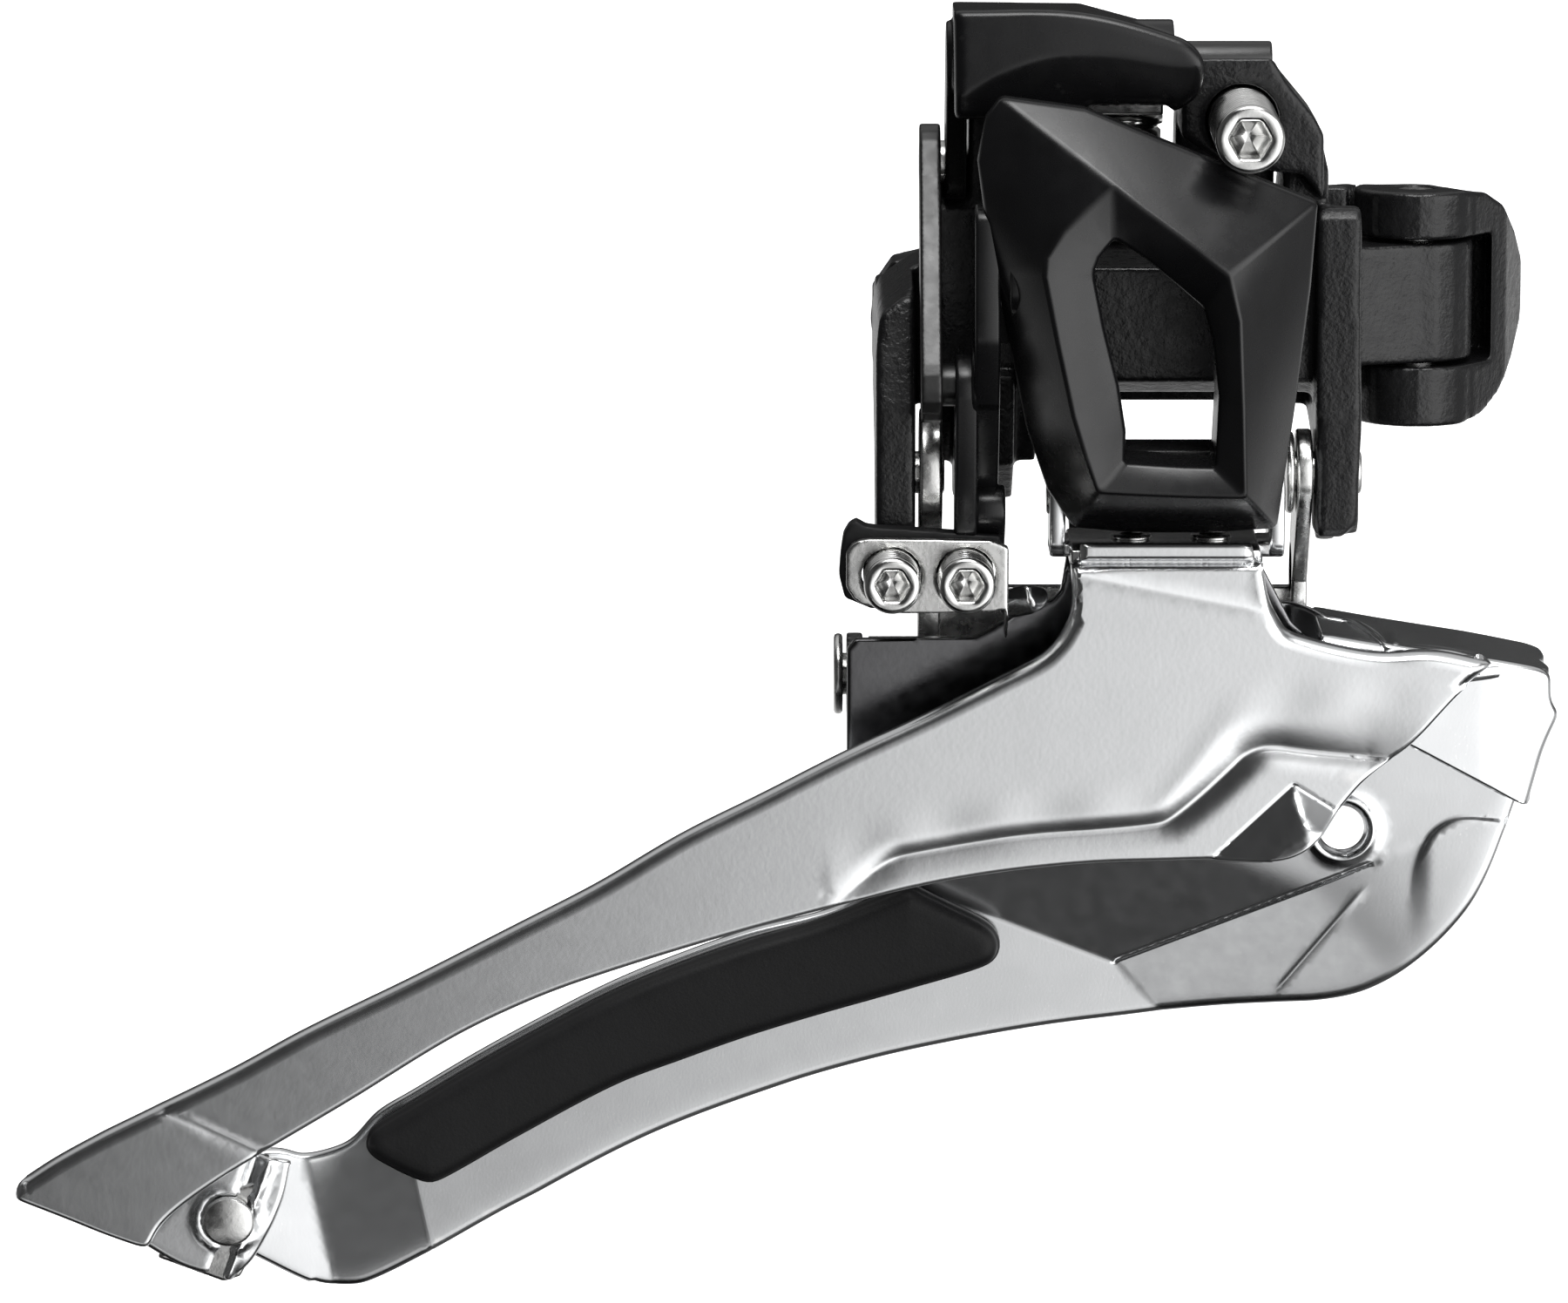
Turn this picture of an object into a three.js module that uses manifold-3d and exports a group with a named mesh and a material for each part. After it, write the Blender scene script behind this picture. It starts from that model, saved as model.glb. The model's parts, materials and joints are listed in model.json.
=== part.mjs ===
// Front derailleur for a road bicycle, band-clamp pattern, drive side.
// Millimetres. +X points forward along the bicycle, +Y points inboard (towards
// the left side of the bicycle), +Z points up along the seat tube. The origin
// lies on the seat-tube axis at half the height of the clamp band.
import * as THREE from 'three';
import { mergeVertices } from 'three/addons/utils/BufferGeometryUtils.js';
import Module from 'manifold-3d';

const wasm = await Module();
wasm.setup();

// ---- driving dimensions -------------------------------------------------
const TUBE_R = 15.9;          // seat tube, 31.8 mm outside diameter
const BORE_R = 16.1;          // clamp bore, closed round the tube
const BAND_R = 18.5;          // outside of the band
const SADDLE_R = 19.6;        // outside of the cast saddle
const BAND_HALF = 8.55;       // half of the band's height
const HINGE = [14.0, -15.5];  // x, y of the upright clamp hinge pin
const HINGE_PIN_R = 1.5;
const KNUCKLE_R = 4.2;
const FINGER_R = 4.5;
const BOLT_X = -21.4;         // clamp bolt, axis along Y
const BOLT_Z = -3.3;
const BOLT_R = 2.5;

// shift linkage, all pivots parallel to X, given as [y, z]
const P1 = [-46.0, 5.4];      // outer link on the base
const P3 = [-40.0, -10.16];   // outer link on the cage
const P2 = [-36.0, -9.32];    // inner link on the base
const P4 = [-30.0, -24.88];   // inner link on the cage
// cable linkage
const P5 = [-36.0, 19.9];     // cable arm on the base
const P6 = [-32.5, 12.4];     // cable arm to toggle link
const P7 = [-42.5, -2.1];     // toggle link to outer link
const PIN_R = 1.5;
const FIT = 0.09;             // radial running clearance of a pin in its eye
const GAP = 0.3;              // air between neighbouring pieces

// cage
const OUTER_Y = -47.2;        // outside face of the outer plate
const INNER_Y = -34.6;        // chain-side face of the inner plate
const PLATE_T = 1.2;
const PAD_T = 2.3;
const SCREW_R = 2.0;          // M4 limit screws
const LOW_X = -24.4;
const HIGH_X = -19.2;
const LIMIT_Z = -15.6;
const SCREW_Y0 = -47.5;
const SCREW_Y1 = -40.0;
const ADJ_X = 0.15;           // cable adjusting bolt
const ADJ_Z = 16.0;

// ---- materials ------------------------------------------------------------
const mat = (color, roughness, metalness) =>
  new THREE.MeshStandardMaterial({ color, roughness, metalness });
const castBlack = () => mat(0x1b1b1c, 0.62, 0.2);
const satinBlack = () => mat(0x141416, 0.38, 0.3);
const satinChrome = () => mat(0xc9cacc, 0.28, 1.0);
const steel = () => mat(0xb4b4b2, 0.38, 1.0);
const boltSteel = () => mat(0xd2d2cf, 0.3, 1.0);
const resin = () => mat(0x1c1c1c, 0.8, 0.0);

// ---- helpers ----------------------------------------------------------------
function solid(geometry) {
  let g = geometry.clone();
  g.deleteAttribute('normal');
  g.deleteAttribute('uv');
  g = mergeVertices(g, 1e-4);
  const vertProperties = new Float32Array(g.attributes.position.array);
  const triVerts = new Uint32Array(g.index.array);
  return new wasm.Manifold(new wasm.Mesh({ numProp: 3, vertProperties, triVerts }));
}
function geometryOf(m) {
  const mesh = m.getMesh();
  const g = new THREE.BufferGeometry();
  g.setAttribute('position', new THREE.BufferAttribute(new Float32Array(mesh.vertProperties), 3));
  g.setIndex(new THREE.BufferAttribute(new Uint32Array(mesh.triVerts), 1));
  g.computeVertexNormals();
  return g;
}
const parts = new THREE.Group();
function add(name, m, material) {
  const mesh = new THREE.Mesh(geometryOf(m), material);
  mesh.name = name;
  parts.add(mesh);
  return mesh;
}
const union = (...list) => list.reduce((a, b) => a.add(b));
const cut = (a, ...list) => list.reduce((m, b) => m.subtract(b), a);

function prism(points, depth, matrix) {
  const pts = points.map((p) => new THREE.Vector2(p[0], p[1]));
  const shape = new THREE.Shape(pts);
  const g = new THREE.ExtrudeGeometry(shape, { depth, bevelEnabled: false, steps: 1 });
  g.applyMatrix4(matrix);
  return solid(g);
}
const prismX = (yz, x0, x1) => prism(yz, x1 - x0,
  new THREE.Matrix4().set(0, 0, 1, x0, 1, 0, 0, 0, 0, 1, 0, 0, 0, 0, 0, 1));
const prismY = (xz, y0, y1) => prism(xz, y1 - y0,
  new THREE.Matrix4().set(1, 0, 0, 0, 0, 0, -1, y1, 0, 1, 0, 0, 0, 0, 0, 1));
const prismZ = (xy, z0, z1) => prism(xy, z1 - z0, new THREE.Matrix4().makeTranslation(0, 0, z0));
const rect = (a0, a1, b0, b1) => [[a0, b0], [a1, b0], [a1, b1], [a0, b1]];
const boxOf = (x0, x1, y0, y1, z0, z1) => prismZ(rect(x0, x1, y0, y1), z0, z1);

function cylX(y, z, r, x0, x1, n = 18) {
  const g = new THREE.CylinderGeometry(r, r, x1 - x0, n);
  g.rotateZ(-Math.PI / 2);
  g.translate((x0 + x1) / 2, y, z);
  return solid(g);
}
function cylY(x, z, r, y0, y1, n = 18) {
  const g = new THREE.CylinderGeometry(r, r, y1 - y0, n);
  g.translate(x, (y0 + y1) / 2, z);
  return solid(g);
}
function cylZ(x, y, r, z0, z1, n = 18) {
  const g = new THREE.CylinderGeometry(r, r, z1 - z0, n);
  g.rotateX(Math.PI / 2);
  g.translate(x, y, (z0 + z1) / 2);
  return solid(g);
}
// outline round two or more discs [a, b, r], as a convex polygon
function round(discs, n = 16) {
  const pts = [];
  for (const [a, b, r] of discs) {
    for (let i = 0; i < n; i++) {
      const t = (2 * Math.PI * i) / n;
      pts.push([a + r * Math.cos(t), b + r * Math.sin(t)]);
    }
  }
  pts.sort((p, q) => p[0] - q[0] || p[1] - q[1]);
  const cross = (o, p, q) => (p[0] - o[0]) * (q[1] - o[1]) - (p[1] - o[1]) * (q[0] - o[0]);
  const half = (list) => {
    const h = [];
    for (const p of list) {
      while (h.length > 1 && cross(h[h.length - 2], h[h.length - 1], p) <= 1e-6) h.pop();
      h.push(p);
    }
    h.pop();
    return h;
  };
  return half(pts).concat(half(pts.reverse()));
}
// ring sector about Z, angles in degrees, counter-clockwise
function sector(r0, r1, a0, a1, z0, z1, step = 9) {
  const n = Math.max(2, Math.round((a1 - a0) / step));
  const pts = [];
  for (let i = 0; i <= n; i++) {
    const t = THREE.MathUtils.degToRad(a0 + ((a1 - a0) * i) / n);
    pts.push([r1 * Math.cos(t), r1 * Math.sin(t)]);
  }
  for (let i = n; i >= 0; i--) {
    const t = THREE.MathUtils.degToRad(a0 + ((a1 - a0) * i) / n);
    pts.push([r0 * Math.cos(t), r0 * Math.sin(t)]);
  }
  return prismZ(pts, z0, z1);
}
// closed slab whose faces follow y = f(x, z) -+ t / 2 on a grid
function slab(f, t, x0, x1, nx, z0, z1, nz) {
  const pos = [];
  const idx = [];
  const at = (s, i, j) => (s * (nx + 1) + i) * (nz + 1) + j;
  for (let s = 0; s < 2; s++) {
    for (let i = 0; i <= nx; i++) {
      for (let j = 0; j <= nz; j++) {
        const x = x0 + ((x1 - x0) * i) / nx;
        const z = z0 + ((z1 - z0) * j) / nz;
        pos.push(x, f(x, z) + (s ? t / 2 : -t / 2), z);
      }
    }
  }
  const quad = (a, b, c, d) => idx.push(a, b, c, a, c, d);
  for (let i = 0; i < nx; i++) {
    for (let j = 0; j < nz; j++) {
      quad(at(0, i, j), at(0, i + 1, j), at(0, i + 1, j + 1), at(0, i, j + 1));
      quad(at(1, i, j), at(1, i, j + 1), at(1, i + 1, j + 1), at(1, i + 1, j));
    }
    quad(at(0, i, 0), at(1, i, 0), at(1, i + 1, 0), at(0, i + 1, 0));
    quad(at(0, i, nz), at(0, i + 1, nz), at(1, i + 1, nz), at(1, i, nz));
  }
  for (let j = 0; j < nz; j++) {
    quad(at(0, 0, j), at(0, 0, j + 1), at(1, 0, j + 1), at(1, 0, j));
    quad(at(0, nx, j), at(1, nx, j), at(1, nx, j + 1), at(0, nx, j + 1));
  }
  const g = new THREE.BufferGeometry();
  g.setAttribute('position', new THREE.Float32BufferAttribute(pos, 3));
  g.setIndex(idx);
  return solid(g);
}
const smooth = (t) => { const s = Math.min(1, Math.max(0, t)); return s * s * (3 - 2 * s); };
const lerp = (a, b, t) => a + (b - a) * t;
// value at z in a table of [z, value] pairs, z rising
function table(list, z) {
  if (z <= list[0][0]) return list[0][1];
  for (let i = 1; i < list.length; i++) {
    if (z <= list[i][0]) {
      const t = (z - list[i - 1][0]) / (list[i][0] - list[i - 1][0]);
      return lerp(list[i - 1][1], list[i][1], t);
    }
  }
  return list[list.length - 1][1];
}
// screw body along Y with a hexagon socket in its outboard end
function socketScrew(x, z, r, y0, y1, key, depth, n = 18) {
  const g = new THREE.LatheGeometry([
    new THREE.Vector2(0, y0), new THREE.Vector2(r - 0.45, y0), new THREE.Vector2(r, y0 + 0.45),
    new THREE.Vector2(r, y1 - 0.5), new THREE.Vector2(r - 0.6, y1), new THREE.Vector2(0, y1)], n);
  g.translate(x, 0, z);
  const body = solid(g);
  return cut(body, cylY(x, z, key / Math.sqrt(3), y0 - 1, y0 + depth, 6));
}

// ---- base bracket: saddle, back plate, two walls, lugs, tower and ear boss ----
{
  const saddle = sector(BORE_R, SADDLE_R, -150, -52, -6.3, BAND_HALF, 7);
  const knuckleNeck = prismZ([[9.0, -21.5], [14.0, -19.7], [14.0, -13.2], [11.2, -12.9], [9.6, -14.5]], -3.9, 4.8);
  const knuckle = cylZ(HINGE[0], HINGE[1], KNUCKLE_R, -3.9, 4.8, 18);
  const backPlate = prismZ([[-25.5, -24], [9.0, -24], [9.6, -19.5], [8.2, -17.2], [-12, -15.2], [-16, -15.2], [-25.5, -17]], -6.2, 8.0);
  const block = prismX([[-37.2, 3.0], [-37.2, -2.6], [-34.5, -3.8], [-20, -4.6], [-20, 5.5], [-37.2, 5.5]], -14.6, 6.2);
  const leftWall = prismX([[-39.7, -18], [-39.7, -4.5], [-36.5, 3.3], [-30, 4.1], [-17, 4.1], [-17, -6.2], [-27, -9], [-31, -14], [-33.4, -18]], -25.5, -22.7);
  const rightWall = prismX([[-39.0, -13.0], [-39.2, -5.0], [-37.2, 0.5], [-37.2, 8.0], [-35.0, 9.9], [-17.5, 9.9], [-17.5, -6.2], [-27, -8], [-31.5, -12.5], [-34, -14.9], [-37.4, -14.9]], 5.8, 9.0);
  const lugL = prismX(round([[P1[0], P1[1], 2.4], [-36, 4.2, 2.0]], 16), -14.6, -11.6);
  const lugR = prismX(round([[P1[0], P1[1], 2.4], [-36, 4.2, 2.0]], 16), -1.6, 1.1);
  const tower = prismX([[-33.0, 5.0], [-23.5, 5.0], [-25.5, 12], [-33.9, 20.2], [-36.5, 19.5], [-34.0, 16.5]], -16.8, -14.3);
  const towerFoot = prismX([[-35.5, 2], [-22, 2], [-22, 7], [-33.5, 7]], -16.8, -14.3);
  const p5barrel = cylX(P5[0], P5[1], 2.6, -16.8, -14.3, 18);
  const bossXZ = [[-4.15, 14.9], [-4.1, 18.2], [-3.2, 20.6], [-2.7, 21.0], [-1.4, 21.6], [0.3, 21.9], [1.8, 21.2], [3.2, 18.7], [5.1, 16.4], [5.9, 15.0], [5.9, 10.4], [4.4, 12.2], [1.4, 12.5], [-1.3, 13.0]];
  const boss = prismY(bossXZ, -38.9, -31.0);
  const bossBack = prismY([[-3.9, 13.6], [-3.9, 19.6], [2.5, 19.6], [5.7, 15], [5.7, 11.2], [1.4, 12.6]], -31.4, -29.5);
  const bossLeg = prismX([[-36.6, 12.5], [-36.2, 9.0], [-36.2, 4.0], [-24, 4.0], [-24, 9.0], [-29.5, 13.5]], 3.2, 6.4);
  const rearEar = prismY([[-16.5, -6.3], [-23.5, -7.4], [-25.4, -5.6], [-25.4, -0.6], [-23.9, 1.6], [-16.5, 1.6]], -10.5, -6.5);
  const earNeck = prismZ([[-25.4, -17.2], [-14.0, -17.2], [-14.5, -10.0], [-16.0, -7.5], [-17.0, -10.4], [-25.4, -10.4]], -6.2, 1.5);
  let base = union(saddle, knuckleNeck, knuckle, backPlate, block, leftWall, rightWall, lugL, lugR, tower, towerFoot, p5barrel, boss, bossBack, bossLeg, rearEar, earNeck);
  // pockets and bores
  base = cut(base,
    cylZ(0, 0, BORE_R, -20, 20, 48),
    cylZ(HINGE[0], HINGE[1], FINGER_R + 0.4, 4.8 + 0.01, 20, 18),
    cylZ(HINGE[0], HINGE[1], FINGER_R + 0.4, -20, -3.91, 18),
    cylZ(HINGE[0], HINGE[1], HINGE_PIN_R + FIT, -20, 20, 18),
    cylX(P1[0], P1[1], PIN_R + FIT, -20, 6, 18),
    cylX(P2[0], P2[1], PIN_R + FIT, -26, -20, 18),
    cylX(P2[0], P2[1], PIN_R + FIT, 5, 10, 18),
    cylX(P5[0], P5[1], PIN_R + FIT, -20, 4.6, 18),
    cylY(ADJ_X, ADJ_Z, 2.45 + 0.15, -42, -25, 18),
    cylY(BOLT_X + 0.4, BOLT_Z, 3.5, -16.0, -5, 18),
    // weight-saving pocket in the underside of the central block
    prismX([[-33.5, -10], [-22.5, -10], [-22.5, 1.5], [-33.5, 1.5]], -12.4, 3.6));
  add('base_bracket', base, castBlack());
}

// ---- clamp band -----------------------------------------------------------------
const BAND_D = [[-40, 8.55], [17.6, 8.55], [19.0, 8.2], [20.5, 7.0], [21.6, 5.0], [22.3, 2.6], [22.5, 0.2], [22.2, -2.4], [21.4, -4.8], [20.3, -6.7], [18.9, -8.1], [17.2, -8.55], [-40, -8.55]];
{
  const ring = sector(BORE_R, BAND_R, -36, 192, -BAND_HALF, BAND_HALF, 7);
  const front = prismZ([[HINGE[0] + 1.0, -19.6], [18.2, -17.4], [20.8, -13.5], [22.3, -8.5], [22.5, -3.0], [21.4, 2.4], [19.2, 6.4], [17.0, 8.2], [15.6, 7.0], [13.2, -8.2], [13.0, -12.2]], -BAND_HALF, BAND_HALF);
  const fingers = cylZ(HINGE[0], HINGE[1], FINGER_R, -BAND_HALF, BAND_HALF, 28);
  let band = union(ring, front, fingers);
  band = cut(band, cylZ(0, 0, BORE_R, -20, 20, 48));
  // window round the knuckle of the base
  band = cut(band,
    cylZ(HINGE[0], HINGE[1], KNUCKLE_R + 0.7, -4.2, 5.1, 28),
    prismZ([[4, -26], [19.6, -22], [19.6, -11.2], [14.5, -9.8], [12.0, -10.5], [6, -12]], -4.2, 5.1),
    cylZ(HINGE[0], HINGE[1], HINGE_PIN_R + FIT, -20, 20, 18));
  band = band.intersect(prismY(BAND_D, -40, 40));
  const ear = prismY([[-15.5, -8.55], [-23.3, -8.0], [-25.4, -6.0], [-25.4, -0.6], [-23.9, 1.6], [-17.0, 3.2]], -4.6, -0.4);
  band = union(band, cut(ear, cylZ(0, 0, BORE_R, -20, 20, 48)));
  band = cut(band,
    cylY(BOLT_X, BOLT_Z, BOLT_R + 0.15, -8, 3, 18),
    cylY(BOLT_X, BOLT_Z, 4.45, -0.4, 9, 18));
  add('clamp_band', band, castBlack());
}
// upright pin of the clamp hinge
add('clamp_hinge_pin', cylZ(HINGE[0], HINGE[1], HINGE_PIN_R, -8.3, 8.3, 18), steel());
// clamp bolt with a washer under its head
{
  const shank = cylY(BOLT_X, BOLT_Z, BOLT_R, -10.6, 1.5, 18);
  const head = cut(cylY(BOLT_X, BOLT_Z, 4.0, 1.0, 6.0, 18), cylY(BOLT_X, BOLT_Z, 4 / Math.sqrt(3), 3.4, 7, 6));
  add('clamp_bolt', union(shank, head), boltSteel());
  add('clamp_bolt_washer', cut(cylY(BOLT_X, BOLT_Z, 4.1, -0.15, 0.75, 18), cylY(BOLT_X, BOLT_Z, BOLT_R + 0.2, -2, 2, 18)), steel());
}

// ---- outer link: faceted casting with a five-sided window ------------------------
{
  // rings of [x, z, y] going round the window
  const O = [[-17.1, 18.6, -47], [-11.2, 17.8, -47], [-7.3, 16.1, -47], [-3.3, 14.4, -47], [4.9, 11.1, -46.8], [4.6, 7.8, -46.6], [4.0, 1.9, -46.5], [3.3, -4.0, -46.2], [2.3, -10.2, -43.6], [-5, -10.7, -43.4], [-12.0, -10.4, -43.6], [-14.3, -7.2, -45.0], [-15.2, -4.0, -45.8], [-16.3, 1.5, -46.4], [-17.4, 6.9, -46.5], [-18.7, 15.4, -46.6]];
  const C = [[-9.3, 13.0, -51.6], [-7.3, 11.5, -51.8], [-5.3, 9.9, -52], [-3.3, 8.4, -52], [-1.3, 6.9, -52.2], [-0.7, 5.4, -52.2], [-0.4, 1.5, -52.2], [-0.2, -3.0, -52.2], [0.0, -8.6, -51.6], [-5, -8.5, -51.4], [-10.1, -8.3, -51.6], [-10.9, -7.2, -51.8], [-12.0, -3.0, -52.2], [-12.8, 0.6, -52.2], [-13.9, 6.0, -52.2], [-14.1, 7.9, -52]];
  const W = [[-9.2, 9.5], [-7.8, 8.5], [-6.3, 7.3], [-4.8, 6.1], [-3.1, 4.7], [-2.7, 3.6], [-2.4, 0.9], [-2.2, -2.6], [-2.2, -6.4], [-5.2, -6.3], [-8.4, -6.1], [-8.3, -3.9], [-8.9, -0.7], [-9.5, 1.9], [-10.2, 5.0], [-10.6, 7.3]];
  const N = O.length;
  const backY = (z) => (z > 4 ? -44.8 : lerp(-42.6, -44.8, Math.max(0, (z + 11) / 15)));
  const rings = [
    O.map(([x, z]) => [x, Math.max(backY(z), -44.8), z]),
    O.map(([x, z, y]) => [x, y, z]),
    C.map(([x, z, y]) => [x, y, z]),
    W.map(([x, z]) => [x, -47.8, z]),
    W.map(([x, z]) => [x, backY(z), z]),
  ];
  const pos = rings.flat().flat();
  const idx = [];
  for (let r = 0; r < rings.length; r++) {
    const s = (r + 1) % rings.length;
    for (let i = 0; i < N; i++) {
      const j = (i + 1) % N;
      const a = r * N + i, b = r * N + j, c = s * N + j, d = s * N + i;
      idx.push(a, c, b, a, d, c);
    }
  }
  const g = new THREE.BufferGeometry();
  g.setAttribute('position', new THREE.Float32BufferAttribute(pos, 3));
  g.setIndex(idx);
  let shell = solid(g);
  if (shell.volume() < 0) throw new Error('outer link faces point in');
  const lowerBarrel = cylX(P3[0], P3[1], 2.5, -11.9, 1.8, 18);
  const lowerWeb = prismX([[-43.6, -10.2], [-44.4, -6.5], [-42.0, -6.0], [-37.7, -9.2], [-40, -12.6], [-42.2, -12.0]], -11.9, 1.8);
  const eyeL = cylX(P1[0], P1[1], 2.35, -16.3, -14.9, 18);
  const eyeR = cylX(P1[0], P1[1], 2.35, 1.4, 2.8, 18);
  // rear plate with the toggle pivot and the high-limit stop
  const rearTop = prismX(round([[-45.4, 9.5, 1.2], [-44.6, 2.0, 2.2], [P7[0], P7[1], 2.7]], 16), -18.7, -16.9);
  const rearLow = prismX(round([[P7[0], P7[1], 2.7], [-39.0, -9.4, 1.5]], 16), -18.7, -16.9);
  const stop = prismX(round([[-38.5, -9.1, 1.5], [-34.6, -14.7, 1.3]], 16), -18.7, -16.9);
  const shoulder = prismX([[-46.0, 4.0], [-46.0, 10.5], [-44.9, 11.0], [-43.6, 9.5], [-43.2, 3.0], [-44.6, 1.0]], -18.7, -15.9);
  let link = union(shell, lowerBarrel, lowerWeb, rearTop, rearLow, stop, shoulder);
  // hollow back for the two lugs of the base
  link = cut(link,
    prismX(round([[P1[0], P1[1], 2.8], [-40, 5.0, 3.0], [-39, 9.8, 2.9]], 16), -14.9, -11.3),
    prismX(round([[P1[0], P1[1], 2.8], [-40, 5.0, 3.0], [-39, 9.8, 2.9]], 16), -1.9, 1.4));
  link = union(link, eyeL, eyeR);
  link = cut(link,
    cylX(P1[0], P1[1], PIN_R + FIT, -17.2, 3.3, 18),
    cylX(P3[0], P3[1], PIN_R + FIT, -15, 5, 18),
    cylX(P7[0], P7[1], PIN_R + FIT, -24, -15, 18));
  add('outer_link', link, satinBlack());
}
add('outer_link_pin_rear', cylX(P1[0], P1[1], PIN_R, -16.2, -11.7, 18), steel());
add('outer_link_pin_front', cylX(P1[0], P1[1], PIN_R, -1.5, 2.7, 18), steel());

// ---- inner link: two arms on a cross tube -----------------------------------------
{
  const armL = union(
    prismX(round([[P2[0], P2[1], 3.1], [-30.8, -17.0, 2.0]], 16), -22.4, -20.8),
    prismX(round([[-30.8, -17.0, 2.0], [P4[0], P4[1], 2.7]], 16), -22.4, -20.8));
  const armR = union(
    prismX(round([[P2[0], P2[1], 3.1], [-30.8, -17.0, 2.0]], 16), 4.25, 5.35),
    prismX(round([[-30.8, -17.0, 2.0], [P4[0], P4[1], 2.7]], 16), 4.25, 5.35));
  const tube = cylX(P4[0], P4[1], 2.7, -25.9, 5.8, 18);
  const web = boxOf(-21.5, 4.8, -30.4, -29.0, -24.0, -18.5);
  let link = union(armL, armR, tube, web);
  link = cut(link,
    cylX(P2[0], P2[1], PIN_R + FIT, -30, 12, 18),
    cylX(P4[0], P4[1], PIN_R + FIT, -30, 12, 18));
  add('inner_link', link, steel());
}
{
  add('inner_link_pin_rear', cylX(P2[0], P2[1], PIN_R, -25.4, -20.6, 18), steel());
  add('inner_link_pin_front', union(cylX(P2[0], P2[1], PIN_R, 3.7, 8.9, 18), cylX(P2[0], P2[1], 2.9, 3.55, 4.1, 18)), steel());
}

// ---- cable arm, its bolt and washer ------------------------------------------------
{
  const face = [[-20.1, 24.1], [-11.2, 24.0], [-3.8, 21.9], [-2.8, 21.0], [-2.3, 20.0], [-3.0, 17.7], [-4.2, 17.35], [-20.1, 17.35]];
  const skin = prismY(face, -41.3, -39.25);
  const roof = prismY([[-20.1, 22.9], [-20.1, 24.1], [-11.2, 24.0], [-5.0, 22.25], [-5.0, 21.6], [-10.8, 22.9]], -40.0, -33.5);
  const hubL = prismX(round([[P5[0], P5[1], 3.2], [-39.5, 19.8, 1.6], [-39.5, 22.2, 1.6]], 16), -20.1, -17.1);
  const hubR = prismX(round([[P5[0], P5[1], 3.1], [-39.8, 19.0, 1.2], [-39.8, 20.6, 1.2]], 16), -10.9, -4.6);
  const cheek = prismX(round([[P5[0], P5[1], 3.0], [P6[0], P6[1], 2.8]], 16), -20.6, -19.1);
  const wing = prismX([[-37.5, 18.0], [-34.5, 22.4], [-31.5, 20.4], [-21.8, 19.0], [-21.8, 17.0], [-33.0, 17.0]], -10.9, -4.6);
  let arm = union(skin, roof, hubL, hubR, cheek, wing);
  arm = cut(arm,
    cylX(P5[0], P5[1], 3.0, -17.1, -10.9, 18),
    cylX(P5[0], P5[1], PIN_R + FIT, -21, 6, 18),
    cylX(P6[0], P6[1], PIN_R + FIT, -24, -15, 18),
    cylZ(-7.7, -26.2, BOLT_R - 0.3, 10, 25, 16));
  add('cable_arm', arm, satinBlack());
  const bolt = union(cylZ(-7.7, -26.2, 2.0, 13.0, 18.6, 16), cut(cylZ(-7.7, -26.2, 2.8, 12.0, 15.0, 16), cylZ(-7.7, -26.2, 2.5 / Math.sqrt(3), 10, 13.6, 6)));
  add('cable_fixing_bolt', bolt, boltSteel());
  const washer = cut(prismZ([[-10.5, -29.4], [-5.0, -29.4], [-5.0, -23.2], [-10.5, -23.2]], 15.3, 16.7), cylZ(-7.7, -26.2, 2.15, 10, 20, 16));
  add('cable_clamp_plate', washer, boltSteel());
}
add('cable_arm_pin', cylX(P5[0], P5[1], PIN_R, -20.3, 4.3, 18), steel());

// torsion spring that returns the linkage, wound round the cable-arm pin
{
  const turns = 2.25, r = 2.25, wire = 0.42, x0 = -13.85, x1 = -11.45;
  class Coil extends THREE.Curve {
    getPoint(t, target = new THREE.Vector3()) {
      const lead = 0.13;
      const a0 = Math.PI * 0.5, a1 = a0 + turns * 2 * Math.PI;
      if (t < lead) {
        const s = 1 - t / lead;
        return target.set(x0, P5[0] + r * Math.cos(a0) + s * 4.2, P5[1] + r * Math.sin(a0) + 0.0 * s);
      }
      if (t > 1 - lead) {
        const s = (t - 1 + lead) / lead;
        return target.set(x1, P5[0] + r * Math.cos(a1) + s * 0.0, P5[1] + r * Math.sin(a1) - s * 1.6);
      }
      const u = (t - lead) / (1 - 2 * lead);
      const a = lerp(a0, a1, u);
      return target.set(lerp(x0, x1, u), P5[0] + r * Math.cos(a), P5[1] + r * Math.sin(a));
    }
  }
  const shape = new THREE.Shape();
  for (let i = 0; i < 6; i++) {
    const t = (i / 6) * 2 * Math.PI;
    if (i === 0) shape.moveTo(wire * Math.cos(t), wire * Math.sin(t));
    else shape.lineTo(wire * Math.cos(t), wire * Math.sin(t));
  }
  const g = new THREE.ExtrudeGeometry(shape, { steps: 44, extrudePath: new Coil(), bevelEnabled: false });
  add('return_spring', solid(g), steel());
}

// ---- toggle link between cable arm and outer link -------------------------------------
{
  const strap = prismX(round([[P6[0], P6[1], 2.7], [P7[0], P7[1], 2.7]], 18), -22.4, -20.9);
  add('toggle_link', cut(strap,
    cylX(P6[0], P6[1], PIN_R + FIT, -24, -18, 18),
    cylX(P7[0], P7[1], PIN_R + 0.4, -24, -18, 18)), satinBlack());
  add('toggle_pin_upper', cylX(P6[0], P6[1], PIN_R, -22.3, -19.2, 18), steel());
  add('toggle_pin_lower', cylX(P7[0], P7[1], PIN_R, -22.3, -17.0, 18), steel());
}

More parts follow.
